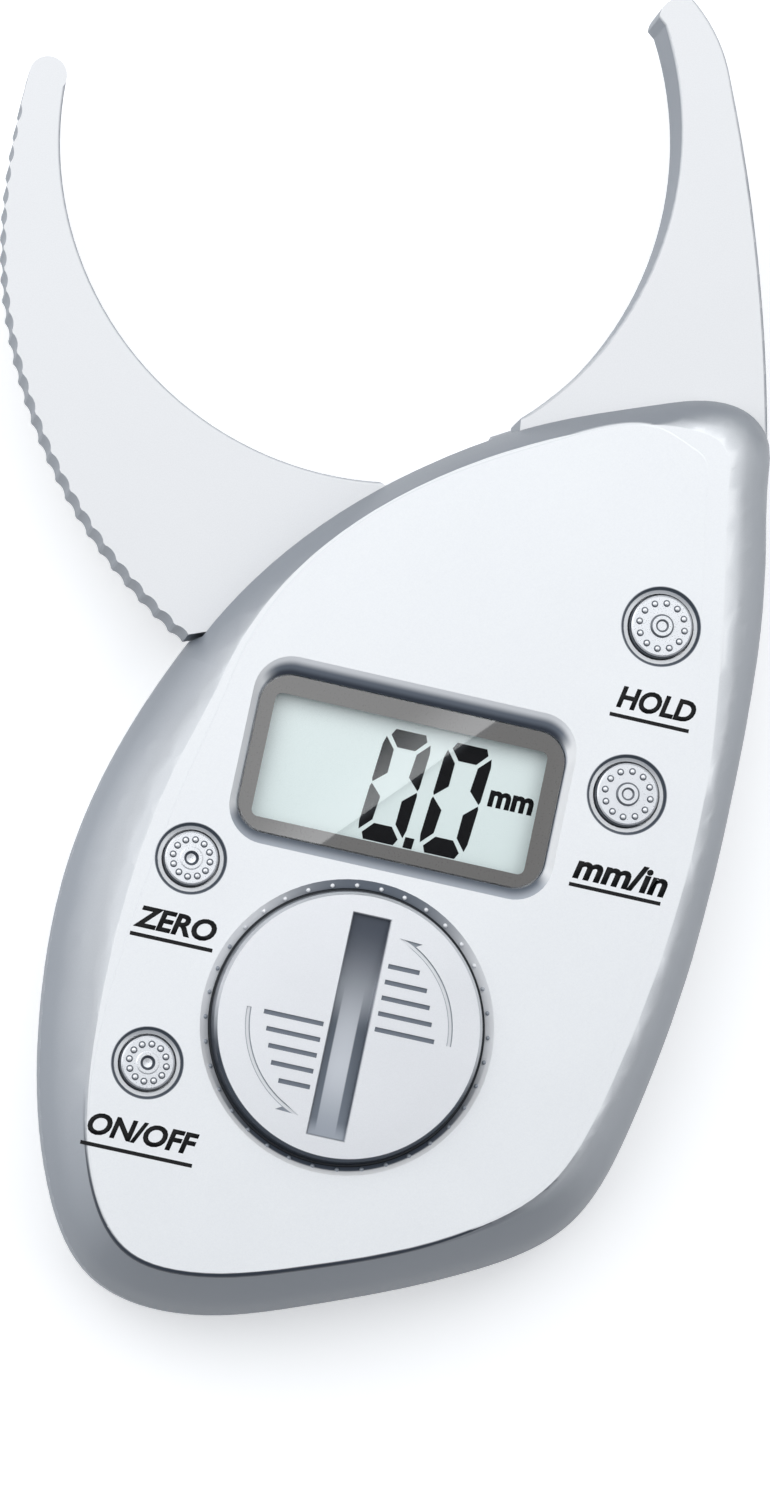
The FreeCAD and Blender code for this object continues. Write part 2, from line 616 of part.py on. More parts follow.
def moving_jaw():
    body = new_body("moving_jaw")
    arm = new_sketch(body, "arm", shift=(0, 0, "jaw_low"))
    x, y, radius = BITE
    middle = Vector(x, y, 0) + at_angle(radius, 222.0)
    inner = size.hub_size - 1
    tail = [at_angle(size.tail_size, turn) for turn in (TAIL[1], sum(TAIL) / 2, TAIL[0])]
    edges = [
        Part.Arc(flat(BITE_ENDS[0]), middle, flat(BITE_ENDS[1])),
        Part.LineSegment(flat(BITE_ENDS[1]), at_angle(inner, 112.0)),
        Part.LineSegment(at_angle(inner, 112.0), at_angle(inner, TAIL[1])),
        Part.LineSegment(at_angle(inner, TAIL[1]), tail[0]),
        Part.Arc(*tail),
        Part.LineSegment(tail[-1], flat(HEEL)),
        line(HEEL, THUMB_SIDE[-1]),
        thumb_side(),
        arc([THUMB_SIDE[0], JAW_TIP, BITE_ENDS[0]]),
    ]
    add_outline(arm, edges)
    pad(body, "arm_pad", arm, "jaw_thick")
    round_arm(body, lambda centre: THUMB_SIDE[2][1] < centre.y < THUMB_SIDE[0][1])
    notches = new_sketch(body, "grip", shift=(0, 0, "jaw_low"))
    side = thumb_side()
    count = int((side.length() - size.grip_start) / size.grip_pitch) + 1
    for i in range(count):
        at = side.parameterAtDistance(size.grip_start + i * size.grip_pitch, side.FirstParameter)
        along = side.tangent(at)[0]
        centre = side.value(at) + Vector(along.y, -along.x, 0) * (size.grip_size - size.grip_depth)
        add_outline(notches, [Part.Circle(centre, Vector(0, 0, 1), size.grip_size)])
    pocket(body, "grip_cut", notches, "jaw_thick")
    disc(body, "upper_lap", "hub_size + hub_play", "jaw_low + jaw_thick / 2 - lap_play / 2",
         "jaw_low + jaw_thick + 1", cut=True)
    disc(body, "hub", "hub_size", "jaw_low", "jaw_low + jaw_thick / 2 - lap_play / 2")
    bore = "pin_size + running_play + bush_wall"
    disc(body, "hub_bore", bore, "jaw_low - 1", "jaw_low + jaw_thick", cut=True)
    leg = at_angle(size.leg_reach, LEG_TURN)
    posts(body, "leg_hole", [(leg.x, leg.y)], "leg_hole", "jaw_low - 1", "1 + 2.8", cut=True)
    return body


def fixed_jaw():
    body = new_body("fixed_jaw")
    plate = new_sketch(body, "plate", shift=(0, 0, "jaw_low"))
    hub_corner = at_angle(8.0, 45.0)
    run = [FIXED_BACK[-1], *FIXED_ROOT, (hub_corner.x, hub_corner.y), *FIXED_NECK]
    edges = [arc(FIXED_TIP), arc(FIXED_SHOULDER), arc(FIXED_BACK)]
    edges += [line(run[i], run[i + 1]) for i in range(len(run) - 1)]
    edges += [arc(FIXED_BITE), line(FIXED_BITE[-1], FIXED_TIP[0])]
    add_outline(plate, edges)
    pad(body, "plate_pad", plate, "jaw_thick")
    round_arm(body, lambda centre: FIXED_NECK[-1][1] + 15 < centre.y < FIXED_TIP[0][1])
    middle = "jaw_low + jaw_thick / 2 + lap_play / 2"
    disc(body, "lower_lap", "hub_size + hub_play", "jaw_low - 1", middle, cut=True)
    disc(body, "hub", "hub_size", middle, "jaw_low + jaw_thick")
    disc(body, "hub_bore", "pin_size", "jaw_low", "jaw_low + jaw_thick + 1", cut=True)
    posts(body, "screw_hole", JAW_SCREWS, "screw_shank", "jaw_low - 1", "1 + jaw_thick - 2", cut=True)
    return body


def pivot_parts():
    pin = new_body("pivot_pin")
    turned(pin, "pin", [
        ("0", "pin_start"), ("pin_size - 0.4", "pin_start"), ("pin_size", "pin_start + 0.4"),
        ("pin_size", "pin_end - 0.4"), ("pin_size - 0.4", "pin_end"), ("0", "pin_end"),
    ])
    bush = new_body("pivot_bush")
    disc(bush, "sleeve", "pin_size + running_play + bush_wall", "jaw_low",
         "jaw_low + jaw_thick / 2 - lap_play / 2", bore="pin_size + running_play")
    washers = new_body("pivot_washers")
    for name, low in (("lower", "jaw_low - lap_play - washer_thick"), ("upper", "jaw_low + jaw_thick")):
        disc(washers, name, "washer_size", low, f"{low} + washer_thick", bore="pin_size")
    return [pin, bush, washers]


def return_spring():
    """A coil round the back cover's boss; one leg lies on the stop, the other stands in the moving jaw."""
    rise = size.coil_pitch * size.coil_turns
    coil = Part.makeHelix(size.coil_pitch, rise, size.coil_size)
    start = coil.Edges[0].valueAt(coil.Edges[0].FirstParameter)
    heading = coil.Edges[0].tangentAt(coil.Edges[0].FirstParameter)
    last = coil.Edges[-1]
    end = last.valueAt(last.LastParameter)
    leaving = last.tangentAt(last.LastParameter)
    reach = math.sqrt(size.leg_reach ** 2 - size.coil_size ** 2)
    foot_end = start - heading * size.stop_leg
    lower_leg = Part.LineSegment(foot_end, start).toShape()
    upper_leg = Part.LineSegment(end, end + leaving * reach).toShape()
    path = Part.Wire([lower_leg, *coil.Edges, upper_leg])
    ring = Part.Wire(Part.Circle(foot_end, heading, size.wire_size).toShape())
    wire = path.makePipeShell([ring], True, True)
    corner = end + leaving * reach
    foot = Part.makeCylinder(size.wire_size, size.jaw_low + 2.3 - size.coil_low - corner.z, corner)
    knee = Part.makeSphere(size.wire_size, corner)
    spring = doc.addObject("Part::Feature", "return_spring")
    spring.Label = "return_spring"
    spring.Shape = wire.fuse([foot, knee]).removeSplitter()
    spring.Placement = Placement(Vector(0, 0, size.coil_low), Rotation())
    return spring


def encoder_sector():
    body = new_body("encoder_sector")
    sketch = new_sketch(body, "plan", shift=(0, 0, "jaw_low + jaw_thick"))
    add_outline(sketch, sector(size.sector_in, size.sector_out, TAIL[0] + 1, TAIL[1] - 1))
    pad(body, "plate", sketch, "sector_thick")
    return body


# ---------------------------------------------------------------- electronics

def circuit_board():
    body = new_body("circuit_board")
    outline = case_section(body, "outline", "board_low", lambda soft: 1.0, 0.6)
    pad(body, "plate", outline, "board_thick")
    clear = new_sketch(body, "clear", shift=(0, 0, "board_low"))
    add_rectangle(clear, "120", "60", 0, "(9 + 30)")
    pocket(body, "top_edge", clear, "board_thick")
    for name, places, radius in (
            ("boss_notch", CASE_SCREWS, "screw_shank + boss_wall + 0.4"),
            ("pivot_hole", [(0, 0)], "front_boss + 0.6"),
            ("bay_hole", [CAP_AT], CHANNEL + " + bay_wall + 0.4"),
            ("screw_hole", BOARD_SCREWS, "board_shank + 0.1")):
        posts(body, name, places, radius, "board_low", "board_thick", cut=True)
    return body


def box_body(name, boxes, low, high):
    """Square-cornered pieces on the circuit board: centre x, y, width and height of each."""
    body = new_body(name)
    sketch = new_sketch(body, "plan", shift=(0, 0, low))
    for x, y, wide, tall in boxes:
        add_rectangle(sketch, wide, tall, x, y)
    pad(body, "block", sketch, f"({high}) - ({low})")
    return body


def board_parts():
    pieces = [
        circuit_board(),
        box_body("controller_chip", [(19.5, -43.0, 8.0, 8.0)], BOARD_TOP, BOARD_TOP + " + 1.2"),
        box_body("board_components", [
            (-13.5, -40.0, 6.0, 2.4), (29.5, -36.5, 2.0, 1.25), (29.5, -39.0, 2.0, 1.25),
            (-23.0, -54.5, 2.0, 1.25), (-23.0, -57.0, 2.0, 1.25),
        ], BOARD_TOP, BOARD_TOP + " + 0.9"),
    ]
    places = [(x, y) for x, y, radius in BUTTONS.values()]
    switches = box_body("tact_switches", [(x, y, "switch_side", "switch_side") for x, y in places],
                        BOARD_TOP, BOARD_TOP + " + switch_high")
    low = BOARD_TOP + " + 0.3"
    posts(switches, "plunger_hole", places, "tack_size + 0.1", low, "switch_high", cut=True)
    pieces.append(switches)
    screws = new_body("board_screws")
    posts(screws, "head", BOARD_SCREWS, "board_head", "board_low - 0.8", "0.8")
    posts(screws, "shank", BOARD_SCREWS, "board_shank", "board_low - 0.4", "board_thick + 0.4 + 2.8")
    pieces.append(screws)
    return pieces


def display_parts():
    lens = new_body("display_lens")
    plan = new_sketch(lens, "plan", shift=(*LENS_AT, LENS_LOW))
    add_outline(plan, rounded(size.lens_wide, size.lens_tall, size.lens_round))
    pad(lens, "plate", plan, "lens_thick")
    glass_top = f"({LENS_LOW} - shelf_thick)"
    glass_low = f"({LENS_LOW} - shelf_thick - glass_thick)"
    panel = new_body("lcd_panel")
    plan = new_sketch(panel, "plan", shift=(*LENS_AT, glass_low))
    add_rectangle(plan, "glass_wide", "glass_tall")
    pad(panel, "glass", plan, "glass_thick")
    holder = new_body("lcd_holder")
    plan = new_sketch(holder, "plan", shift=(*LENS_AT, BOARD_TOP))
    add_rectangle(plan, "glass_wide + 2 * holder_wall", "glass_tall + 2 * holder_wall")
    pad(holder, "block", plan, f"{glass_top} - {BOARD_TOP}")
    plan = new_sketch(holder, "seat", shift=(*LENS_AT, glass_low))
    add_rectangle(plan, "glass_wide + 0.1", "glass_tall + 0.1")
    pocket(holder, "glass_seat", plan, "glass_thick")
    plan = new_sketch(holder, "slots", shift=(*LENS_AT, BOARD_TOP))
    for y in (8.3, -8.3):
        add_rectangle(plan, "36.2", "1.8", 0, y)
    add_rectangle(plan, "34", "11", 0, 0)
    pocket(holder, "strip_slots", plan, "3")
    strips = new_body("zebra_strips")
    plan = new_sketch(strips, "plan", shift=(*LENS_AT, BOARD_TOP))
    for y in (8.3, -8.3):
        add_rectangle(plan, "36", "1.6", 0, y)
    pad(strips, "strip", plan, f"{glass_low} - {BOARD_TOP}")
    return [lens, panel, holder, strips]


# ---------------------------------------------------------------- buttons

def buttons():
    pieces = []
    top = "face_top + button_rise"
    flange = "(face_top - face_wall - flange_play)"
    foot = f"({flange} - flange_thick)"
    # Middle of the top, from the axis outwards: a boss with a dimple, or a dimple with a low rim.
    boss = [("0", "0.1"), ("0.6", "0.1"), ("0.85", "0.35"), ("1.3", "0.35"), ("1.5", "0.15"), ("1.55", "0")]
    dimple = [("0", "-0.5"), ("0.6", "-0.45"), ("0.95", "0.08"), ("1.35", "0.08"), ("1.5", "0")]
    # Each bump is the top of a ball.
    ball = "(bump_size ^ 2 + bump_high ^ 2) / (2 * bump_high)"
    reach = (size.bump_size ** 2 + size.bump_high ** 2) / (2 * size.bump_high)
    for name, (x, y, radius) in BUTTONS.items():
        button = new_body(f"{name}_button")
        middle = boss if radius == "button_right" else dimple
        form = turned(button, "form", [
            ("0", f"{foot} - 0.6"), ("tack_size - 0.3", f"{foot} - 0.6"), ("tack_size - 0.3", foot),
            (f"{radius} + flange_wide", foot), (f"{radius} + flange_wide", flange), (radius, flange),
            (radius, "face_top - well_deep"), (f"{radius} - 0.1", top + " - 0.4"),
            (f"{radius} - 0.2", top + " - 0.12"), (f"{radius} - 0.4", top),
            *[(across, f"{top} + ({rise})") for across, rise in reversed(middle)],
        ], (x, y))
        bump = new_sketch(button, "bump_profile", "XZ_Plane",
                          (f"{x} + {radius} - bump_edge", f"{top} + bump_high - {ball}", f"-({y})"))
        add_outline(bump, [Part.Arc(at_angle(reach, 0), at_angle(reach, 45), at_angle(reach, 90)),
                           line((0, reach), (0, 0)), line((0, 0), (reach, 0))])
        dome = button.newObject("PartDesign::Revolution", f"{name}_bump")
        dome.Profile = bump
        dome.ReferenceAxis = (bump, ["V_Axis"])
        dome.Angle = 360
        ring = button.newObject("PartDesign::PolarPattern", f"{name}_bumps")
        ring.Originals = [dome]
        ring.Axis = (form.Profile[0], ["V_Axis"])
        bind(ring, "Occurrences", "bump_count")
        button.Tip = ring
        plunger = new_body(f"{name}_plunger")
        disc(plunger, "form", "tack_size", f"{foot} - 0.6 - 1.3", f"{foot} - 0.6", (x, y))
        pieces += [button, plunger]
    return pieces


# ---------------------------------------------------------------- battery bay

def cap_marks(sketch):
    """Five lines on either side of the coin slot and an arrow outside them, twice round the cap."""
    near = size.coin_wide / 2 + size.mark_gap
    lines = [(0.4, 11.05), (2.45, 10.3), (4.5, 9.6), (6.55, 8.8), (8.6, 7.4)]
    half = size.mark_wide / 2
    for side in (1, -1):
        for y, far in lines:
            corners = [(near, y - half), (far, y - half), (far, y + half), (near, y + half)]
            corners = [(side * corner_x, side * corner_y) for corner_x, corner_y in corners]
            add_outline(sketch, [line(corners[i - 1], corners[i]) for i in range(4)])
        turn = 0 if side == 1 else 180
        outer, inner = size.arrow_at + half, size.arrow_at - half
        first, neck, tip = turn + 1.0, turn + 62.0, turn + 72.0
        barb = at_angle(outer + 0.8, neck - 2.0)
        add_outline(sketch, [
            Part.Arc(at_angle(outer, first), at_angle(outer, (first + neck) / 2), at_angle(outer, neck)),
            Part.LineSegment(at_angle(outer, neck), barb),
            Part.LineSegment(barb, at_angle(size.arrow_at, tip)),
            Part.LineSegment(at_angle(size.arrow_at, tip), at_angle(inner, neck)),
            Part.Arc(at_angle(inner, neck), at_angle(inner, (first + neck) / 2), at_angle(inner, first)),
            Part.LineSegment(at_angle(inner, first), at_angle(outer, first)),
        ])


def battery_parts():
    battery = new_body("battery")
    top = "(battery_low + battery_thick)"
    rim, shoulder = "battery_size - 1.4", "battery_low + 0.5"
    turned(battery, "cell", [
        ("0", "battery_low"), (rim, "battery_low"), (rim, shoulder), ("battery_size - 0.5", shoulder),
        ("battery_size", "battery_low + 1"), ("battery_size", top), ("0", top),
    ], CAP_AT)

    cap = new_body("battery_cap")
    neck_low = f"({STEP} + 0.1)"
    crown = "(face_top + cap_rise)"
    turned(cap, "form", [
        ("0", f"{top} + 0.05"), ("battery_size - 1", f"{top} + 0.05"), ("battery_size - 1", f"{top} + 3.5"),
        ("cap_neck - 1.6", f"{top} + 3.5"), ("cap_neck - 1.6", neck_low), ("cap_neck", neck_low),
        ("cap_neck", f"{SINK} + 0.1"), ("cap_foot", f"{SINK} + 0.1"), ("cap_foot - 0.3", crown + " - 0.5"),
        ("cap_crown", crown), ("0", crown),
    ], CAP_AT)
    lug = new_sketch(cap, "lug", shift=(*CAP_AT, f"{LIP_LOW} - 0.1 - lug_thick"))
    for face in LUG_FACES:
        add_outline(lug, sector(size.cap_neck - 0.8, size.cap_neck + size.lug_reach,
                                face - size.lug_span / 2, face + size.lug_span / 2))
    pad(cap, "lugs", lug, "lug_thick")
    slot = new_sketch(cap, "coin", "YZ_Plane", (CAP_AT[1], crown, f"{CAP_AT[0]} - coin_wide / 2"))
    half, deep, end_deep = size.coin_long / 2, size.coin_deep, size.coin_deep * 0.4
    corners = [(half, -end_deep), (half, 1.0), (-half, 1.0), (-half, -end_deep)]
    add_outline(slot, [arc([corners[3], (0, -deep), corners[0]])])
    add_outline(slot, [line(corners[i], corners[i + 1]) for i in range(3)])
    pocket(cap, "coin_slot", slot, "coin_wide")
    level = size.face_top + size.cap_rise
    dress(cap, "Chamfer", "coin_rim", "coin_edge",
          lambda edge: lies_at(edge, level) and edge.Curve.TypeId == "Part::GeomLine")
    marks = new_sketch(cap, "marks", shift=(*CAP_AT, f"{crown} - mark_deep"))
    cap_marks(marks)
    pocket(cap, "engraving", marks, "mark_deep + 1")

    minus = new_body("negative_contact")
    plan = new_sketch(minus, "side", "XZ_Plane", (CAP_AT[0], 0, f"-({CAP_AT[1]}) - leaf_wide / 2"))
    out = f"({CHANNEL} + bay_wall + 2.2)"
    upper, spring = f"{BAY_FLOOR} + leaf", "battery_low - leaf"
    add_polygon(plan, [
        (f"-{out}", "board_low"), (f"-{out}", BAY_FLOOR), ("-6", BAY_FLOOR), ("-2", spring), ("2", spring),
        ("2", "battery_low"), ("-2.1", "battery_low"), ("-6.1", upper), (f"leaf - {out}", upper),
        (f"leaf - {out}", "board_low"),
    ])
    pad(minus, "strip", plan, "leaf_wide")
    plus = new_body("positive_contact")
    plan = new_sketch(plus, "side", "XZ_Plane", (CAP_AT[0], 0, f"-({CAP_AT[1]}) - leaf_wide / 2"))
    raised = f"({BAY_FLOOR} + 1.2)"
    add_polygon(plan, [
        (out, "board_low"), (out, raised), ("battery_size", raised), ("battery_size", f"{top} - 0.4"),
        ("battery_size + leaf", f"{top} - 0.4"), ("battery_size + leaf", f"{raised} + leaf"),
        (f"{out} - leaf", f"{raised} + leaf"), (f"{out} - leaf", "board_low"),
    ])
    pad(plus, "strip", plan, "leaf_wide")
    return [battery, cap, minus, plus]


def screws():
    pieces = []
    for name, places, tip in (("case_screws", CASE_SCREWS, "part_line + case_thread - 0.3"),
                              ("jaw_screws", JAW_SCREWS, "jaw_low + jaw_thick - 2.3")):
        body = new_body(name)
        posts(body, "head", places, "screw_head", "head_sink - head_high", "head_high")
        posts(body, "shank", places, "screw_shank", "head_sink - 0.4", f"{tip} - head_sink + 0.4")
        pieces.append(body)
    return pieces


# ---------------------------------------------------------------- build, check and write

NODES = [
    rear_cover(), front_cover(), moving_jaw(), fixed_jaw(), *pivot_parts(), return_spring(), encoder_sector(),
    *board_parts(), *display_parts(), *buttons(), *battery_parts(), *screws(),
]
doc.recompute()

for item in doc.Objects:
    if "Invalid" in item.State or "Error" in item.State:
        raise RuntimeError(f"{item.Name} failed: {item.State}")
for node in NODES:
    if node.Shape.isNull() or not node.Shape.isValid():
        raise RuntimeError(f"{node.Label} has no valid shape")

os.makedirs("parts", exist_ok=True)
for node in NODES:
    node.Shape.exportStep(f"parts/{node.Label}.step")
    print(f"{node.Label:20s} {len(node.Shape.Solids):2d} solids {node.Shape.Volume:10.2f} mm3")
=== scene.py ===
import bmesh
import bpy
import math
from mathutils import Matrix, Vector


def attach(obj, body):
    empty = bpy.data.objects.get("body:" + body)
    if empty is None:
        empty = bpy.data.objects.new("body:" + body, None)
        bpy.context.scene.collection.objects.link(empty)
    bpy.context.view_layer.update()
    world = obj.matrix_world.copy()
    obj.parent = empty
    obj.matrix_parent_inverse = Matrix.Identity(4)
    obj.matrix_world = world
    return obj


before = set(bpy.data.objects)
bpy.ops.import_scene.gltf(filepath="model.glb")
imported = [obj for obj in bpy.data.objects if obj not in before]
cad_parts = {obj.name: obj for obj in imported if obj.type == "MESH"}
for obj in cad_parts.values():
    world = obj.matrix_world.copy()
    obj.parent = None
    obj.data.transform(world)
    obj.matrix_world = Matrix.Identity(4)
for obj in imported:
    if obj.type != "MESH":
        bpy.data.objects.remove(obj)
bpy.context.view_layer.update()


# ---------------------------------------------------------------- places on the part, in millimetres

MM = 0.001


def ends(name):
    """Low and high end of a node along x, y and z."""
    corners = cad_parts[name].bound_box
    return [(low / MM, high / MM) for low, high in zip(corners[0], corners[6])]


def middle(name):
    """Middle of a node across and along the face, rounded past what facets take off a circle."""
    return [round((low + high) / 2, 2) for low, high in ends(name)[:2]]


def half_size(name):
    """Half of a node's width and of its length, rounded in the same way."""
    return [round((high - low) / 2, 2) for low, high in ends(name)[:2]]


def top(name):
    """Height of a node's highest point."""
    return round(ends(name)[2][1], 2)


FACE = top("front_cover")
CAP, CAP_FOOT, CAP_TOP = middle("battery_cap"), half_size("battery_cap")[0], top("battery_cap")
LENS, LENS_HALF, LENS_TOP = middle("display_lens"), half_size("display_lens"), top("display_lens")
GLASS_PRINT = top("lcd_panel") + 0.01  # underside of what is printed on the display glass
FLANGE = 1.2  # how far a key's hidden flange reaches past its visible side
KEYS = {name: (middle(name + "_button"), half_size(name + "_button")[0] - FLANGE)
        for name in ("hold", "unit", "zero", "power")}
GLARE_TURN = math.radians(47.4)  # how far the edge of the glare on the lens is turned from straight across


# ---------------------------------------------------------------- shader tools

class Value:
    """A shader socket that takes part in plain arithmetic."""

    def __init__(self, paint, socket):
        self.paint = paint
        self.socket = socket

    def do(self, operation, *others):
        return self.paint.maths(operation, self, *others)

    def __add__(self, other):
        return self.do("ADD", other)

    def __radd__(self, other):
        return self.paint.maths("ADD", other, self)

    def __sub__(self, other):
        return self.do("SUBTRACT", other)

    def __rsub__(self, other):
        return self.paint.maths("SUBTRACT", other, self)

    def __mul__(self, other):
        return self.do("MULTIPLY", other)

    def __rmul__(self, other):
        return self.paint.maths("MULTIPLY", other, self)

    def __truediv__(self, other):
        return self.do("DIVIDE", other)

    def __rtruediv__(self, other):
        return self.paint.maths("DIVIDE", other, self)

    def __pow__(self, other):
        return self.do("POWER", other)

    def __rpow__(self, other):
        return self.paint.maths("POWER", other, self)

    def __neg__(self):
        return self.do("MULTIPLY", -1.0)

    def over(self, limit):
        return self.do("GREATER_THAN", limit)

    def clamped(self, low=0.0, high=1.0):
        return self.do("MAXIMUM", low).do("MINIMUM", high)

    def size(self):
        """The number without its sign."""
        return self.do("ABSOLUTE")

    def eased(self, low, high):
        """0 below low, 1 above high, smooth between."""
        return self.paint.add("MapRange", {"interpolation_type": "SMOOTHSTEP"},
                              {"Value": self, "From Min": low, "From Max": high})

    def within(self, inner, outer):
        """1 below inner, 0 above outer, smooth between."""
        return 1.0 - self.eased(inner, outer)


class Paint:
    """One material: a Principled shader and whatever feeds it."""

    SHARE, FIRST, SECOND, BLEND = 0, 6, 7, 2  # a Mix node's sockets for colours, and its output

    def __init__(self, name):
        self.material = bpy.data.materials.new(name)
        self.material.use_nodes = True
        self.tree = self.material.node_tree
        self.surface = self.tree.nodes["Principled BSDF"]

    def add(self, kind, settings=None, values=None, output=0):
        """Adds a node with its settings first, then the numbers, colours or links of its sockets."""
        node = self.tree.nodes.new("ShaderNode" + kind)
        for key, value in (settings or {}).items():
            setattr(node, key, value)
        for key, value in (values or {}).items():
            self.feed(node.inputs[key], value)
        return Value(self, node.outputs[output])

    def feed(self, socket, value):
        """Links a value to a socket, or sets a number or a colour on it."""
        if isinstance(value, Value):
            self.tree.links.new(value.socket, socket)
        elif socket.type == "RGBA":
            socket.default_value = (*value, 1.0)
        else:
            socket.default_value = value

    def set(self, values):
        """Feeds the Principled shader's own sockets."""
        for key, value in values.items():
            self.feed(self.surface.inputs[key], value)
        return self

    def maths(self, operation, *operands):
        return self.add("Math", {"operation": operation}, dict(enumerate(operands)))

    def mix(self, first, second, share):
        """Blends two colours."""
        sockets = {self.FIRST: first, self.SECOND: second, self.SHARE: share}
        return self.add("Mix", {"data_type": "RGBA"}, sockets, self.BLEND)

    def place(self):
        return self.add("TexCoord", output="Object")

    def parts_of(self, vector):
        return [self.add("SeparateXYZ", {}, {0: vector}, axis) for axis in range(3)]

    def axes(self):
        """Place on the part in millimetres."""
        return [part / MM for part in self.parts_of(self.place())]

    def facing(self):
        """The surface's own direction along each axis."""
        return self.parts_of(self.add("TexCoord", output="Normal"))

    def noise(self, feature_mm, detail=2.0, stretch=(1.0, 1.0, 1.0)):
        """Noise from 0 to 1; a stretch over 1 makes its features finer along that axis."""
        place = self.add("VectorMath", {"operation": "MULTIPLY"}, {0: self.place(), 1: stretch})
        return self.add("TexNoise", {}, {"Vector": place, "Scale": 1.0 / (feature_mm * MM), "Detail": detail})

    def bump(self, height, depth_mm, strength=1.0):
        return self.add("Bump", {}, {"Height": height, "Distance": depth_mm * MM, "Strength": strength})


def distance(x, y, centre):
    """How far a spot lies from an axis that stands on the face."""
    across, along = x - centre[0], y - centre[1]
    return (across * across + along * along) ** 0.5


def scaled(tone, share):
    """A colour made darker or lighter, short of pure white."""
    return tuple(min(part * share, 0.98) for part in tone)


# ---------------------------------------------------------------- silver lacquer and its shading

def silver_paint(name, tone=(0.91, 0.925, 0.945), slope=(0.255, 0.285, 0.33), metallic=0.2, rough=0.38,
                 grain=0.010, shading=None):
    """Satin silver lacquer with painted shade that makes it darker where a surface slopes away from level.

    A shading function takes the paint, its cover so far and its cover on level surfaces, and
    returns the cover with the piece's own painted shade.
    """
    paint = Paint(name)
    flakes = paint.noise(feature_mm=0.16)
    clouds = paint.noise(feature_mm=14.0, detail=3.0)
    upright = paint.facing()[2].size()
    level = upright.eased(0.13, 1.0) * 0.76 + upright.eased(0.93, 0.995) * 0.24
    shade = ((clouds - 0.5) * 0.30 + (flakes - 0.5) * 0.9 + 0.5).clamped()
    flat = paint.mix(scaled(tone, 0.94), scaled(tone, 1.05), shade)
    # painted shade: the slope colour takes over as the surface tilts away from level
    painted_slope_shade = paint.mix(scaled(slope, 0.86), scaled(slope, 1.14), shade)
    cover = paint.mix(painted_slope_shade, flat, level)
    if shading:
        cover = shading(paint, cover, flat)
    peel = paint.noise(feature_mm=0.9) * 0.7 + flakes * 0.3
    return paint.set({
        "Base Color": cover,
        "Metallic": metallic,
        "Roughness": (rough + (flakes - 0.5) * 0.16 + (clouds - 0.5) * 0.06).clamped(0.05, 1.0),
        "Normal": paint.bump(peel, grain, 0.6),
    }).material


# painted shade colours, from a light touch along the face's left edge to near black in the gap round the cap
EDGE_SHADE = (0.70, 0.715, 0.735)
BAND_SHADE = (0.16, 0.18, 0.21)
WELL_SHADE = (0.10, 0.12, 0.15)
FOOT_SHADE = (0.07, 0.085, 0.11)
CREASE_SHADE = (0.05, 0.06, 0.08)
GAP_SHADE = (0.02, 0.024, 0.03)


def case_shading(paint, cover, flat):
    """The front cover: painted shade where its band turns over and in its recesses, with some painted light.
    """
    x, y, z = paint.axes()
    nx, ny, nz = paint.facing()
    below_face = FACE - z
    cap_reach = distance(x, y, CAP)
    by_cap = cap_reach.within(CAP_FOOT + 1.7, CAP_FOOT + 2.0)
    by_lens = lens_surround(x, y)
    slope = nz.within(0.97, 0.995) * nz.eased(0.3, 0.5)
    cover = paint.mix(cover, BAND_SHADE, band_turn(nx, ny, nz))
    # no painted slope shade on the top of the face, down to its small step
    cover = paint.mix(cover, flat, below_face.within(0.035, 0.07))
    # painted shade in a line along the face's left edge
    left_edge_shade = below_face.within(0.08, 0.10) * (-nx).eased(0.015, 0.06)
    cover = paint.mix(cover, EDGE_SHADE, left_edge_shade * 0.6)
    # painted shade and painted light on the ring round the cap and on the lens bevel
    cover = paint.mix(cover, cap_ring(paint, nx, ny, cap_reach), slope * by_cap)
    cover = paint.mix(cover, lens_bevel(paint, ny, z - LENS_TOP), slope * by_lens)
    # painted shade in the crease under the face's lower edge
    crease = face_crease(nx, ny, nz, below_face) * (1.0 - by_cap) * (1.0 - by_lens)
    cover = paint.mix(cover, CREASE_SHADE, crease)
    # painted shade in the gap round the cap's foot
    cover = paint.mix(cover, GAP_SHADE, cap_reach.within(CAP_FOOT + 0.25, CAP_FOOT + 0.35))
    # painted shade in each key's well
    for centre, size in KEYS.values():
        shadow = well_shadow(distance(x, y, centre) - size, y - centre[1], size)
        cover = paint.mix(cover, WELL_SHADE, shadow)
    return cover


def band_turn(nx, ny, nz):
    """Share of shade on the side band: along its shoulders, and in a line beside the face's left edge."""
    left, down = -nx, -ny
    shoulder = left.within(0.5, 0.85) * nz.within(0.65, 0.95)
    upper = ny.eased(0.1, 0.5) * nz.within(0.55, 0.97)
    lower = down.eased(0.2, 0.6) * nz.within(0.6, 0.8)
    line = left.eased(0.08, 0.25) * nz.eased(0.75, 0.88) * nz.within(0.985, 0.998)
    return ((shoulder + upper + lower) * 0.36 + line * 0.2).clamped()


def face_crease(nx, ny, nz, below_face):
    """Share of shade under the face's lower edge, where the side band meets it in a crease."""
    facing_down = nz.within(0.975, 0.995) * (-ny).eased(0.12, 0.3)
    return facing_down * nx.within(0.3, 0.55) * below_face.within(0.45, 1.0)


def lens_surround(x, y):
    """1 on the lens and its bevel, which is wider above the lens than below it."""
    half_wide, half_long, shift = LENS_HALF[0] + 1.3, LENS_HALF[1] + 2.1, 0.35
    across = (x - LENS[0]).size().within(half_wide, half_wide + 0.3)
    return across * (y - LENS[1] - shift).size().within(half_long, half_long + 0.3)


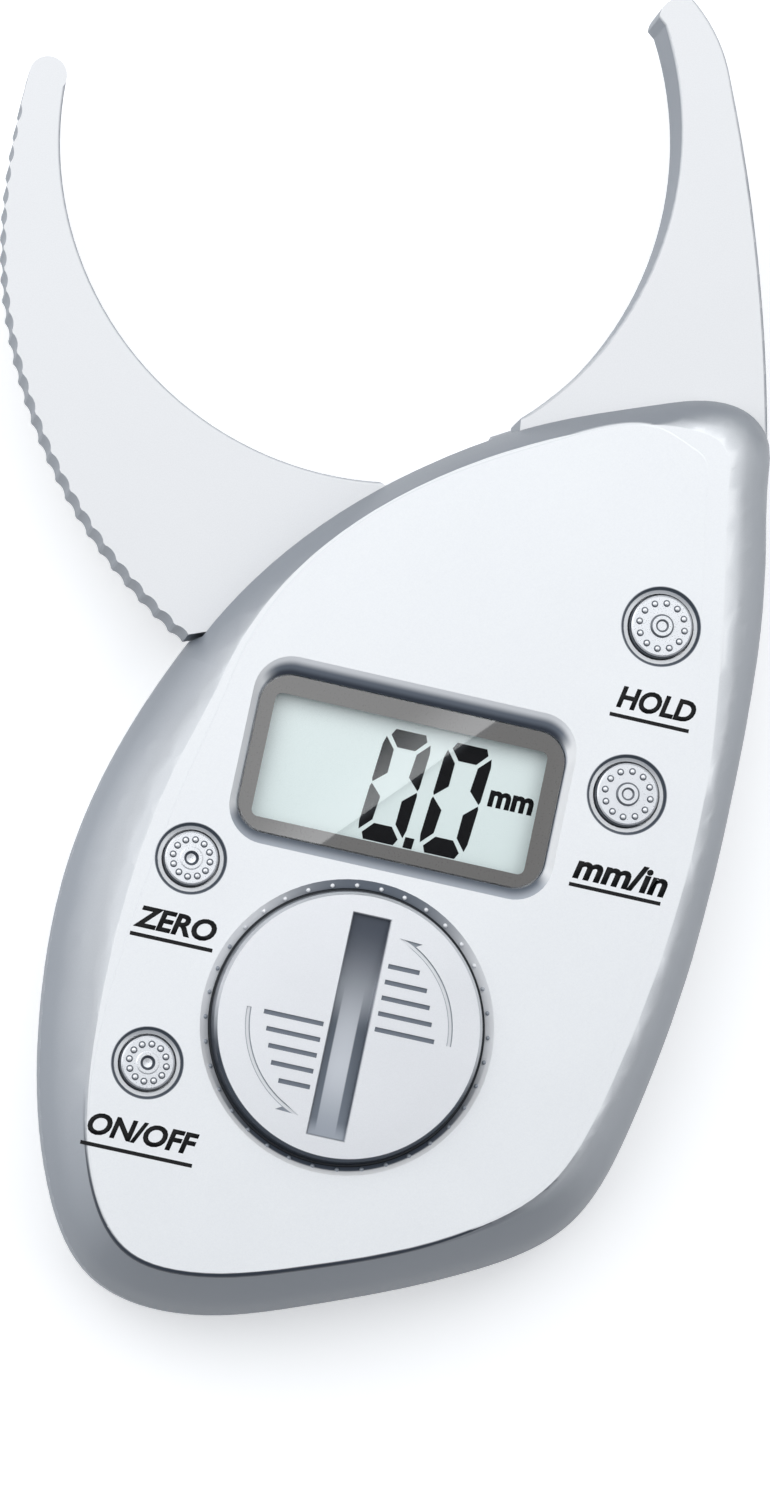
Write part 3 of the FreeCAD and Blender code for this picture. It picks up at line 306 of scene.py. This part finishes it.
def lens_bevel(paint, ny, rise):
    """The bevel by its rise over the lens: black to bright above the lens, grey below it, pale beside it."""
    # painted shade and painted light on the lens bevel
    foot, slope, lip = (0.045, 0.055, 0.075), (0.16, 0.185, 0.225), (0.88, 0.895, 0.92)
    upper = paint.mix(foot, slope, rise.eased(0.1, 0.45))
    upper = paint.mix(upper, lip, rise.eased(0.48, 0.95))
    lower = paint.mix((0.12, 0.14, 0.17), (0.45, 0.48, 0.53), rise.eased(0.05, 1.05))
    beside = paint.mix((0.30, 0.33, 0.37), (0.93, 0.94, 0.95), rise.eased(0.0, 0.25))
    bevel = paint.mix(beside, upper, (-ny).eased(0.22, 0.42))
    return paint.mix(bevel, lower, ny.eased(0.1, 0.4))


def cap_ring(paint, nx, ny, cap_reach):
    """The sunk ring round the battery cap: pale at its sides, dark above the cap and close below it."""
    # painted light at the ring's sides, painted shade above the cap
    beside, above, below = (0.95, 0.955, 0.965), (0.17, 0.195, 0.235), (0.10, 0.12, 0.155)
    # painted shadow of the cap on the ring close below it
    below_turn = math.radians(12)
    below_cap = (ny * math.cos(below_turn) - nx * math.sin(below_turn)).eased(0.05, 0.5)
    ring = paint.mix(beside, above, (-ny).eased(0.35, 0.62))
    return paint.mix(ring, below, below_cap * cap_reach.within(CAP_FOOT + 0.7, CAP_FOOT + 0.95))


def well_shadow(out, up, size):
    """Share of shade in a key's well: all round its slope, and on the upper part of its ledge.

    out is the distance from the key's side, up the distance from its middle towards the jaws.
    """
    rim = out.eased(0.55, 0.7) * out.within(0.95, 1.1)
    ledge = up.eased(0.3 * size, 1.1 * size) * out.eased(0.1, 0.2) * out.within(0.7, 0.8)
    return (rim + ledge * 0.6).clamped()


def cap_shading(paint, cover, flat):
    """The battery cap: painted shade at its foot, in its coin slot and in its engraved marks."""
    x, y, z = paint.axes()
    ny, nz = paint.facing()[1:]
    below_top = CAP_TOP - z
    across, along = x - CAP[0], y - CAP[1]
    reach = distance(x, y, CAP)
    rim = nz.within(0.82, 0.97) * ny.within(-0.35, 0.1) * reach.eased(CAP_FOOT - 0.8, CAP_FOOT - 0.6)
    foot = reach.eased(CAP_FOOT - 0.08, CAP_FOOT - 0.01)
    # painted shade on the lower side of the cap's rounded edge and round its foot
    cover = paint.mix(cover, FOOT_SHADE, (rim + foot).clamped())
    half_wide, half_long = 2.45, 14.4
    slot = below_top.eased(0.04, 0.2) * across.size().within(half_wide, half_wide + 0.15)
    slot = slot * along.size().within(half_long, half_long + 0.3)
    marks = below_top.eased(0.04, 0.25) * reach.within(15.9, 16.1) * (1.0 - slot)
    cover = paint.mix(cover, coin_slot(paint, across, along), slot)
    return paint.mix(cover, engraving(paint, reach), marks)


def coin_slot(paint, across, along):
    """The slot's floor: pale in the middle, dark towards its upper end and along its walls."""
    # painted shade in the coin slot
    pale, upper_end, lower_end = (0.58, 0.605, 0.645), (0.11, 0.125, 0.155), (0.28, 0.305, 0.345)
    floor = paint.mix(pale, upper_end, along.eased(-1.5, 13.5))
    floor = paint.mix(floor, lower_end, (-along).eased(4.0, 14.0))
    wall = (across + 0.12).size().eased(1.2, 1.4) * along.within(-0.5, 6.0) * along.eased(-14.2, -12.0)
    return paint.mix(floor, (0.13, 0.15, 0.18), wall)


def engraving(paint, reach):
    """Grey hatch lines inside, and round them arrows with dark outlines and a pale middle."""
    # painted shade in the engraved grooves
    hatch, outline, inside = (0.20, 0.225, 0.265), (0.30, 0.33, 0.37), (0.86, 0.87, 0.89)
    hatch_end, arrow_at = 12.0, 13.0
    arrow = paint.mix(inside, outline, (reach - arrow_at).size().eased(0.12, 0.27))
    return paint.mix(hatch, arrow, reach.eased(hatch_end, hatch_end + 0.3))


def key_shading(paint, cover, flat):
    """Painted shade wherever a key's small bumps and rims slope."""
    return paint.mix((0.09, 0.105, 0.13), flat, paint.facing()[2].eased(0.62, 0.97))


def dot_shading(paint, cover, flat):
    """Index dots in painted shade round the ring, except above the cap, where they stay silver."""
    up = paint.axes()[1] - CAP[1]
    return paint.mix((0.30, 0.33, 0.37), flat, up.eased(7.0, 12.0))


# ---------------------------------------------------------------- other materials

def moulded(name, tone, rough):
    """Plain moulded plastic with a fine even texture."""
    paint = Paint(name)
    fine = paint.noise(feature_mm=0.5, detail=3.0)
    broad = paint.noise(feature_mm=9.0)
    return paint.set({
        "Base Color": paint.mix(scaled(tone, 0.86), tone, (fine * 0.3 + broad * 0.7).clamped()),
        "Roughness": (rough + (fine - 0.5) * 0.18).clamped(0.05, 1.0),
        "Normal": paint.bump(fine, 0.006),
    }).material


def metal(name, tone, rough=0.3, stretch=(1.0, 1.0, 1.0), feature_mm=0.25):
    """Bare metal with fine lines or grain."""
    paint = Paint(name)
    lines = paint.noise(feature_mm, 3.0, stretch)
    stains = paint.noise(feature_mm=5.0)
    return paint.set({
        "Base Color": paint.mix(scaled(tone, 0.78), tone, (lines * 0.6 + stains * 0.4).clamped()),
        "Metallic": 1.0,
        "Roughness": (rough + (lines - 0.5) * 0.25).clamped(0.05, 1.0),
        "Normal": paint.bump(lines, 0.004),
    }).material


def lens_glare_streak(paint):
    """Painted glare: how much the lens mirrors, most along a diagonal streak, none in its lower right corner.
    """
    x, y = paint.axes()[:2]
    offset = 0.43
    streak = (y - LENS[1]) * math.cos(GLARE_TURN) - (x - LENS[0]) * math.sin(GLARE_TURN) + offset
    return streak.eased(-1.4, -0.2) * (0.35 + streak.within(0.0, 8.0) * 0.65)


def printed_ink(name, tone, rough=0.6, gloss=0.25, polished=False):
    """Screen-printed ink with a slightly uneven cover; its coat can mirror as painted glare along the lens's
    streak.
    """
    paint = Paint(name)
    cover = paint.noise(feature_mm=0.22, detail=3.0)
    lighter = tuple(part + 0.006 for part in tone)
    return paint.set({
        "Base Color": paint.mix(tone, lighter, cover),
        "Roughness": (rough + (cover - 0.5) * 0.2).clamped(0.01, 1.0),
        "Specular IOR Level": gloss,
        # painted glare on the ink's coat along the lens's streak
        "Coat Weight": lens_glare_streak(paint) if polished else 0.0,
        "Coat IOR": 2.2,
        "Coat Roughness": 0.01,
        "Normal": paint.bump(cover, 0.003),
    }).material


def lens_plastic():
    """Clear acrylic: a faint mirror for the little light that its surfaces return, clear for the rest."""
    paint = Paint("clear lens")
    haze = paint.noise(feature_mm=6.0, detail=3.0)
    # painted glare: the lens mirrors the real window lamp, most strongly along the streak
    polish = lens_glare_streak(paint)
    return paint.set({
        "Base Color": paint.mix((0.93, 0.96, 0.96), (0.97, 0.99, 0.99), haze),
        "Metallic": 1.0,
        "Roughness": (0.004 + haze * 0.006).clamped(),
        "Alpha": (0.007 + polish * polish * 0.064 + haze * 0.004).clamped(),
    }).material


def display_glass():
    """Reflective display behind its polariser: pale green-grey with a fine mesh, paler at the top."""
    paint = Paint("display glass")
    mesh = paint.noise(feature_mm=0.12)
    up = paint.axes()[1] - LENS[1]
    window_low, window_tall = -8.2, 17.0
    tone = paint.mix((0.76, 0.86, 0.84), (0.80, 0.89, 0.87), ((up - window_low) / window_tall).clamped())
    return paint.set({
        "Base Color": paint.mix(tone, (0.76, 0.84, 0.83), (mesh - 0.45).clamped() * 0.5),
        "Roughness": (0.28 + (mesh - 0.5) * 0.1).clamped(),
        "Normal": paint.bump(mesh, 0.002),
    }).material


def board_green():
    """Solder mask over copper tracks that show as slightly raised lighter lines."""
    paint = Paint("circuit board")
    winding = {"Vector": paint.place(), "Scale": 260.0, "Distortion": 6.0, "Detail": 0.5, "Detail Scale": 0.4}
    track = paint.add("TexWave", {"wave_type": "BANDS"}, winding, "Fac").over(0.72)
    weave = paint.noise(feature_mm=0.3)
    mask = paint.mix((0.012, 0.10, 0.045), (0.02, 0.14, 0.06), weave)
    return paint.set({
        "Base Color": paint.mix(mask, (0.05, 0.26, 0.11), track),
        "Roughness": (0.34 + weave * 0.12).clamped(),
        "Normal": paint.bump(track * 0.8 + weave * 0.2, 0.03),
    }).material


def code_plate():
    """Etched steel plate with a radial slot at every degree, which the pickup reads."""
    paint = Paint("code plate")
    x, y = paint.axes()[:2]
    turn = y.do("ARCTAN2", x) * math.degrees(1.0)
    slots = (turn.do("FRACT") - 0.5).size().eased(0.2, 0.28)
    grain = paint.noise(feature_mm=0.2)
    plate = paint.mix((0.50, 0.50, 0.49), (0.60, 0.60, 0.58), grain)
    return paint.set({
        "Base Color": paint.mix(plate, (0.10, 0.10, 0.11), slots),
        "Metallic": 1.0,
        "Roughness": (0.3 + slots * 0.3 + grain * 0.1).clamped(),
        "Normal": paint.bump(slots * 0.8 + grain * 0.1, 0.02),
    }).material


def cell_steel():
    """Stamped steel can of the coin cell, brushed in rings."""
    paint = Paint("coin cell")
    x, y = paint.axes()[:2]
    wave_per_mm = 9.0
    rings = (distance(x, y, CAP) * wave_per_mm).do("SINE") * 0.5 + 0.5
    grain = paint.noise(feature_mm=0.2, detail=3.0)
    polish = (rings * 0.5 + grain * 0.5).clamped()
    return paint.set({
        "Base Color": paint.mix((0.52, 0.53, 0.55), (0.70, 0.71, 0.72), polish),
        "Metallic": 1.0,
        "Roughness": (0.22 + grain * 0.14).clamped(),
        "Normal": paint.bump(rings * 0.6 + grain * 0.4, 0.006),
    }).material


def striped_rubber():
    """Contact strip: thin black and grey layers side by side."""
    paint = Paint("contact rubber")
    layers_per_mm = 5.0
    layers = (paint.axes()[0] * layers_per_mm).do("FRACT").over(0.5)
    grain = paint.noise(feature_mm=0.3)
    return paint.set({
        "Base Color": paint.mix((0.02, 0.02, 0.022), (0.30, 0.30, 0.31), layers),
        "Roughness": (0.7 + grain * 0.15).clamped(),
        "Normal": paint.bump(grain, 0.01),
    }).material


SILVER = silver_paint("silver lacquer")
CASE_SILVER = silver_paint("front cover lacquer", shading=case_shading)
JAW_SILVER = silver_paint("jaw lacquer", tone=(0.815, 0.82, 0.83), rough=0.42, grain=0.008)
CAP_SILVER = silver_paint("cap lacquer", tone=(0.90, 0.91, 0.93), slope=(0.45, 0.47, 0.50),
                          metallic=0.6, rough=0.34, shading=cap_shading)
DOT_SILVER = silver_paint("index dots", slope=(0.5, 0.52, 0.55), shading=dot_shading)
KEY_SILVER = silver_paint("key lacquer", tone=(0.88, 0.895, 0.92), slope=(0.13, 0.15, 0.18),
                          metallic=0.6, rough=0.30, shading=key_shading)
INK = printed_ink("black ink", (0.003, 0.003, 0.004))
BORDER_INK = printed_ink("grey border ink", (0.140, 0.135, 0.129), 0.3, 0.5, polished=True)
SEGMENT = printed_ink("display segments", (0.004, 0.004, 0.005), 0.8, 0.1)
STEEL = metal("turned steel", (0.62, 0.63, 0.65), stretch=(1.0, 1.0, 12.0))
SPRING = metal("spring wire", (0.50, 0.51, 0.53), 0.35, (1.0, 1.0, 4.0))
BRONZE = metal("sintered bronze", (0.55, 0.36, 0.17), 0.5, feature_mm=0.15)
BRASS = metal("contact strip", (0.75, 0.60, 0.30), 0.25, (1.0, 10.0, 1.0))
BLACK = moulded("black epoxy", (0.03, 0.03, 0.033), 0.5)
CERAMIC = moulded("ceramic", (0.42, 0.31, 0.20), 0.55)
HOLDER = moulded("holder plastic", (0.55, 0.56, 0.58), 0.4)
PLUNGER = moulded("plunger plastic", (0.10, 0.10, 0.11), 0.35)

LOOKS = {
    "front_cover": CASE_SILVER, "rear_cover": SILVER, "fixed_jaw": JAW_SILVER, "moving_jaw": JAW_SILVER,
    "pivot_pin": STEEL, "pivot_bush": BRONZE, "pivot_washers": STEEL, "return_spring": SPRING,
    "encoder_sector": code_plate(), "circuit_board": board_green(), "controller_chip": BLACK,
    "board_components": CERAMIC, "tact_switches": BLACK, "board_screws": STEEL,
    "display_lens": lens_plastic(), "lcd_panel": display_glass(), "lcd_holder": HOLDER,
    "zebra_strips": striped_rubber(), "battery": cell_steel(), "battery_cap": CAP_SILVER,
    "negative_contact": BRASS, "positive_contact": BRASS, "case_screws": STEEL, "jaw_screws": STEEL,
}
for name in KEYS:
    LOOKS[name + "_button"] = KEY_SILVER
    LOOKS[name + "_plunger"] = PLUNGER
for name, look in LOOKS.items():
    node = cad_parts[name]
    node.data.materials.clear()
    node.data.materials.append(look)


# ---------------------------------------------------------------- tools for the prints

def mesh_from(name, build):
    """Makes a mesh from a function that fills a bmesh in millimetres."""
    shape = bmesh.new()
    build(shape)
    bmesh.ops.transform(shape, matrix=Matrix.Scale(MM, 4), verts=shape.verts)
    bmesh.ops.recalc_face_normals(shape, faces=shape.faces)
    mesh = bpy.data.meshes.new(name)
    shape.to_mesh(mesh)
    shape.free()
    return mesh


def piece(name, build, look):
    """Makes a print from a function that fills a bmesh, and fixes it to the case."""
    mesh = mesh_from(name, build)
    mesh.materials.append(look)
    thing = bpy.data.objects.new(name, mesh)
    bpy.context.scene.collection.objects.link(thing)
    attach(thing, "case")


def slab(shape, outline, low, high, hole=None):
    """A flat plate between two heights from an outline, with an optional hole of as many corners."""
    def ring(corners, height):
        return [shape.verts.new((x, y, height)) for x, y in corners]

    def skirt(first, second):
        """A face from each side of one ring to the same side of another."""
        for i in range(len(first)):
            j = (i + 1) % len(first)
            shape.faces.new((first[i], first[j], second[j], second[i]))

    lower, upper = ring(outline, low), ring(outline, high)
    skirt(lower, upper)
    if hole:
        lower_hole, upper_hole = ring(hole, low), ring(hole, high)
        skirt(lower_hole, upper_hole)
        skirt(upper, upper_hole)
        skirt(lower, lower_hole)
    else:
        shape.faces.new(upper)
        shape.faces.new(lower)


def round_rect(wide, tall, radius, centre, steps=8):
    """Outline of a rectangle with round corners, from its upper right one."""
    points = []
    for corner, (sx, sy) in enumerate(((1, 1), (-1, 1), (-1, -1), (1, -1))):
        for step in range(steps + 1):
            turn = math.radians(90 * corner + 90 * step / steps)
            points.append((centre[0] + sx * (wide / 2 - radius) + radius * math.cos(turn),
                           centre[1] + sy * (tall / 2 - radius) + radius * math.sin(turn)))
    return points


def bead(shape, place, radius, flat):
    """A low round bump."""
    spot = Matrix.Translation(place) @ Matrix.Diagonal((1.0, 1.0, flat, 1.0))
    bmesh.ops.create_uvsphere(shape, u_segments=16, v_segments=8, radius=radius, matrix=spot)


def font_mesh(name, text, slant, weight):
    """A flat word in plain sans letters, at the font's own size."""
    curve = bpy.data.curves.new(name, "FONT")
    curve.body = text
    curve.shear = slant
    curve.offset = weight
    curve.resolution_u = 4
    source = bpy.data.objects.new(name + "_source", curve)
    bpy.context.scene.collection.objects.link(source)
    bpy.context.view_layer.update()
    mesh = bpy.data.meshes.new_from_object(source.evaluated_get(bpy.context.evaluated_depsgraph_get()))
    bpy.data.objects.remove(source)
    return mesh


def lettering(name, text, at, box, height, underline=None, slant=0.2, weight=0.035, look=INK):
    """A printed word that fills a box of left, low, right and high edges round a place.

    The underline is its left end, right end and middle, from the same place.
    """
    thick, half_line = 0.012, 0.25
    letters = font_mesh(name, text, slant, weight)
    xs = [v.co.x for v in letters.vertices]
    ys = [v.co.y for v in letters.vertices]
    from_x, from_y = min(xs), min(ys)
    left, low, right, high = box
    wider = (right - left) / (max(xs) - from_x)
    taller = (high - low) / (max(ys) - from_y)

    def build(shape):
        shape.from_mesh(letters)
        for v in shape.verts:
            x, y = left + (v.co.x - from_x) * wider, low + (v.co.y - from_y) * taller
            v.co = (at[0] + x, at[1] + y, height)
        copies = bmesh.ops.extrude_face_region(shape, geom=list(shape.faces))["geom"]
        raised = [item for item in copies if isinstance(item, bmesh.types.BMVert)]
        bmesh.ops.translate(shape, verts=raised, vec=(0, 0, thick))
        if underline:
            start, end, line = underline
            corners = ((start, line - half_line), (end, line - half_line),
                       (end, line + half_line), (start, line + half_line))
            slab(shape, [(at[0] + x, at[1] + y) for x, y in corners], height, height + thick)
    piece(name, build, look)
    bpy.data.meshes.remove(letters)


# ---------------------------------------------------------------- the prints

def lens_border():
    """The grey frame printed round the window of the lens."""
    inset, corner = 0.1, 3.9
    window_wide, window_tall, window_corner = 36.0, 16.2, 0.9
    window_at = (LENS[0] - 0.2, LENS[1] - 0.35)
    low, thick = LENS_TOP + 0.005, 0.02
    outer = round_rect(2 * (LENS_HALF[0] - inset), 2 * (LENS_HALF[1] - inset), corner, LENS)
    inner = round_rect(window_wide, window_tall, window_corner, window_at)
    piece("lens_border", lambda shape: slab(shape, outer, low, low + thick, inner), BORDER_INK)


def display_digits():
    """Two zeros and a decimal point, as the display shows them at rest."""
    tall, wide, lean, thick = 14.8, 6.25, 0.088, 0.02
    base = LENS[1] - 8.12
    zeros_at = (LENS[0] - 4.37, LENS[0] + 3.75)
    point_at = LENS[0] + 2.0
    top_bar = [(0.75, 13.95), (1.15, 14.8), (5.1, 14.8), (5.5, 13.95), (4.3, 12.5), (1.95, 12.5)]
    side_bar = [(0.22, 13.65), (1.6, 12.1), (1.7, 9.0), (0.15, 7.5), (0.0, 7.9), (0.0, 12.6)]
    point = [(0.0, 0.0), (1.2, 0.0), (1.2, 1.4), (0.0, 1.4)]

    def across(bar):
        return [(wide - u, v) for u, v in bar]

    def below(bar):
        return [(u, tall - v) for u, v in bar]

    def build(shape):
        def printed(bar, left):
            leaning = [(left + u + lean * v, base + v) for u, v in bar]
            slab(shape, leaning, GLASS_PRINT, GLASS_PRINT + thick)

        for left in zeros_at:
            for bar in (top_bar, side_bar, across(side_bar)):
                printed(bar, left)
                printed(below(bar), left)
        printed(point, point_at)
    piece("display_digits", build, SEGMENT)


def key_labels():
    """The word under each key and the line under that word, placed from the key's middle."""
    labels = {
        "hold": ("HOLD", (-3.65, -11.5, 6.7, -8.55), (-4.25, 6.3, -12.52)),
        "unit": ("mm/in", (-4.8, -12.05, 7.6, -8.55), (-5.0, 7.15, -12.85)),
        "zero": ("ZERO", (-5.45, -10.0, 5.15, -7.1), (-5.6, 5.15, -10.92)),
        "power": ("ON/OFF", (-5.75, -10.3, 8.45, -7.42), (-6.2, 8.3, -11.55)),
    }
    for key, (text, box, underline) in labels.items():
        lettering("label_" + key, text, KEYS[key][0], box, FACE + 0.004, underline)


def display_unit():
    """The small mm beside the digits."""
    box = (11.6, -0.5, 17.55, 1.7)
    lettering("display_unit", "mm", LENS, box, GLASS_PRINT, slant=0.06, weight=0.04, look=SEGMENT)


def ring_dots():
    """Small index dots on the slope round the battery cap."""
    count, first, size, flat = 36, 8, 0.3, 0.9
    reach, height = CAP_FOOT + 0.7, FACE - 0.52

    def build(shape):
        for i in range(count):
            turn = math.radians(360 / count * i + first)
            place = (CAP[0] + reach * math.cos(turn), CAP[1] + reach * math.sin(turn), height)
            bead(shape, place, size, flat)
        for face in shape.faces:
            face.smooth = True
    piece("ring_dots", build, DOT_SILVER)


lens_border()
display_digits()
key_labels()
display_unit()
ring_dots()


# ---------------------------------------------------------------- table, lights and camera, in metres

def table_top():
    """A pale floor that looks white outside the object's shadow and doesn't light the object up."""
    glow_strength, drop = 0.38, 0.0003
    bpy.ops.mesh.primitive_plane_add(size=6.0, location=(0, 0, -drop))
    floor = bpy.context.object
    floor.name = "table_top"
    paint = Paint("table top")
    paint.set({"Base Color": (0.42, 0.425, 0.43), "Roughness": 0.9})
    lit = paint.add("BsdfDiffuse", {}, {"Color": (0.92, 0.925, 0.93)})
    glow = paint.add("Emission", {}, {"Color": (1.0, 1.0, 1.0), "Strength": glow_strength})
    white = paint.add("AddShader", {}, {0: lit, 1: glow})
    seen, mirrored, through = (paint.add("LightPath", output="Is " + ray + " Ray")
                               for ray in ("Camera", "Glossy", "Transmission"))
    looked_at = (seen + mirrored + through).clamped()
    both = paint.add("MixShader", {}, {0: looked_at, 1: Value(paint, paint.surface.outputs[0]), 2: white})
    paint.feed(paint.tree.nodes["Material Output"].inputs["Surface"], both)
    floor.data.materials.append(paint.material)


def soft_box(name, at, size, radiance, tint=(1.0, 1.0, 1.0), turn=0.0, aim=None):
    """An evenly bright rectangular lamp, straight down unless aimed; a radiance of 1 reflects as white."""
    wide, tall = size
    lamp = bpy.data.lights.new(name, "AREA")
    lamp.shape = "RECTANGLE"
    lamp.size, lamp.size_y = wide, tall
    lamp.energy = radiance * math.pi * wide * tall
    lamp.color = tint
    thing = bpy.data.objects.new(name, lamp)
    bpy.context.scene.collection.objects.link(thing)
    towards = Vector(aim or (at[0], at[1], 0.0)) - Vector(at)
    aimed = towards.to_track_quat("-Z", "Y").to_matrix().to_4x4()
    thing.matrix_world = Matrix.Translation(at) @ aimed @ Matrix.Rotation(turn, 4, "Z")


def studio():
    """A big window overhead whose edge the lens mirrors, a lamp on the right and a card on the left."""
    world = bpy.data.worlds.new("studio")
    bpy.context.scene.world = world
    world.use_nodes = True
    background = world.node_tree.nodes["Background"]
    background.inputs["Color"].default_value = (0.82, 0.89, 1.0, 1.0)
    background.inputs["Strength"].default_value = 0.20
    window_wide, window_tall = 2.4, 1.6
    edge_at = (0.0964, 0.071, 0.90)  # the spot on the window's edge that the lens mirrors
    window_at = (edge_at[0] - window_tall / 2 * math.sin(GLARE_TURN),
                 edge_at[1] + window_tall / 2 * math.cos(GLARE_TURN), edge_at[2])
    soft_box("window", window_at, (window_wide, window_tall), 1.42, (0.98, 0.99, 1.0), GLARE_TURN)
    soft_box("right_box", (0.90, 0.30, 0.85), (1.2, 1.4), 1.0)
    soft_box("left_card", (-1.1, 0.25, 0.50), (1.4, 0.9), 0.8, aim=(0.0, 0.0, 0.02))


def camera():
    """Looks almost straight down at the face, a little from the left and below; the caliper leans right."""
    roll, left, below = math.radians(12.08), math.tan(math.radians(7.2)), math.tan(math.radians(5.2))
    focal_px, picture_px, sensor_mm = 5616, 770, 36.0
    target = Vector((-3.6565, -22.3972, 23.0)) * MM
    away = 0.72
    level = Vector((math.cos(roll), math.sin(roll), 0))
    upright = Vector((-math.sin(roll), math.cos(roll), 0))
    back = (Vector((0, 0, 1)) - left * level - below * upright).normalized()
    up = (upright - back * upright.dot(back)).normalized()
    right = up.cross(back)
    data = bpy.data.cameras.new("camera")
    data.sensor_fit = "HORIZONTAL"
    data.sensor_width = sensor_mm
    data.lens = focal_px / picture_px * sensor_mm
    thing = bpy.data.objects.new("camera", data)
    bpy.context.scene.collection.objects.link(thing)
    turn = Matrix((right, up, back)).transposed().to_4x4()
    thing.matrix_world = Matrix.Translation(target + back * away) @ turn
    bpy.context.scene.camera = thing


table_top()
studio()
camera()
bpy.context.scene.view_settings.view_transform = "Standard"
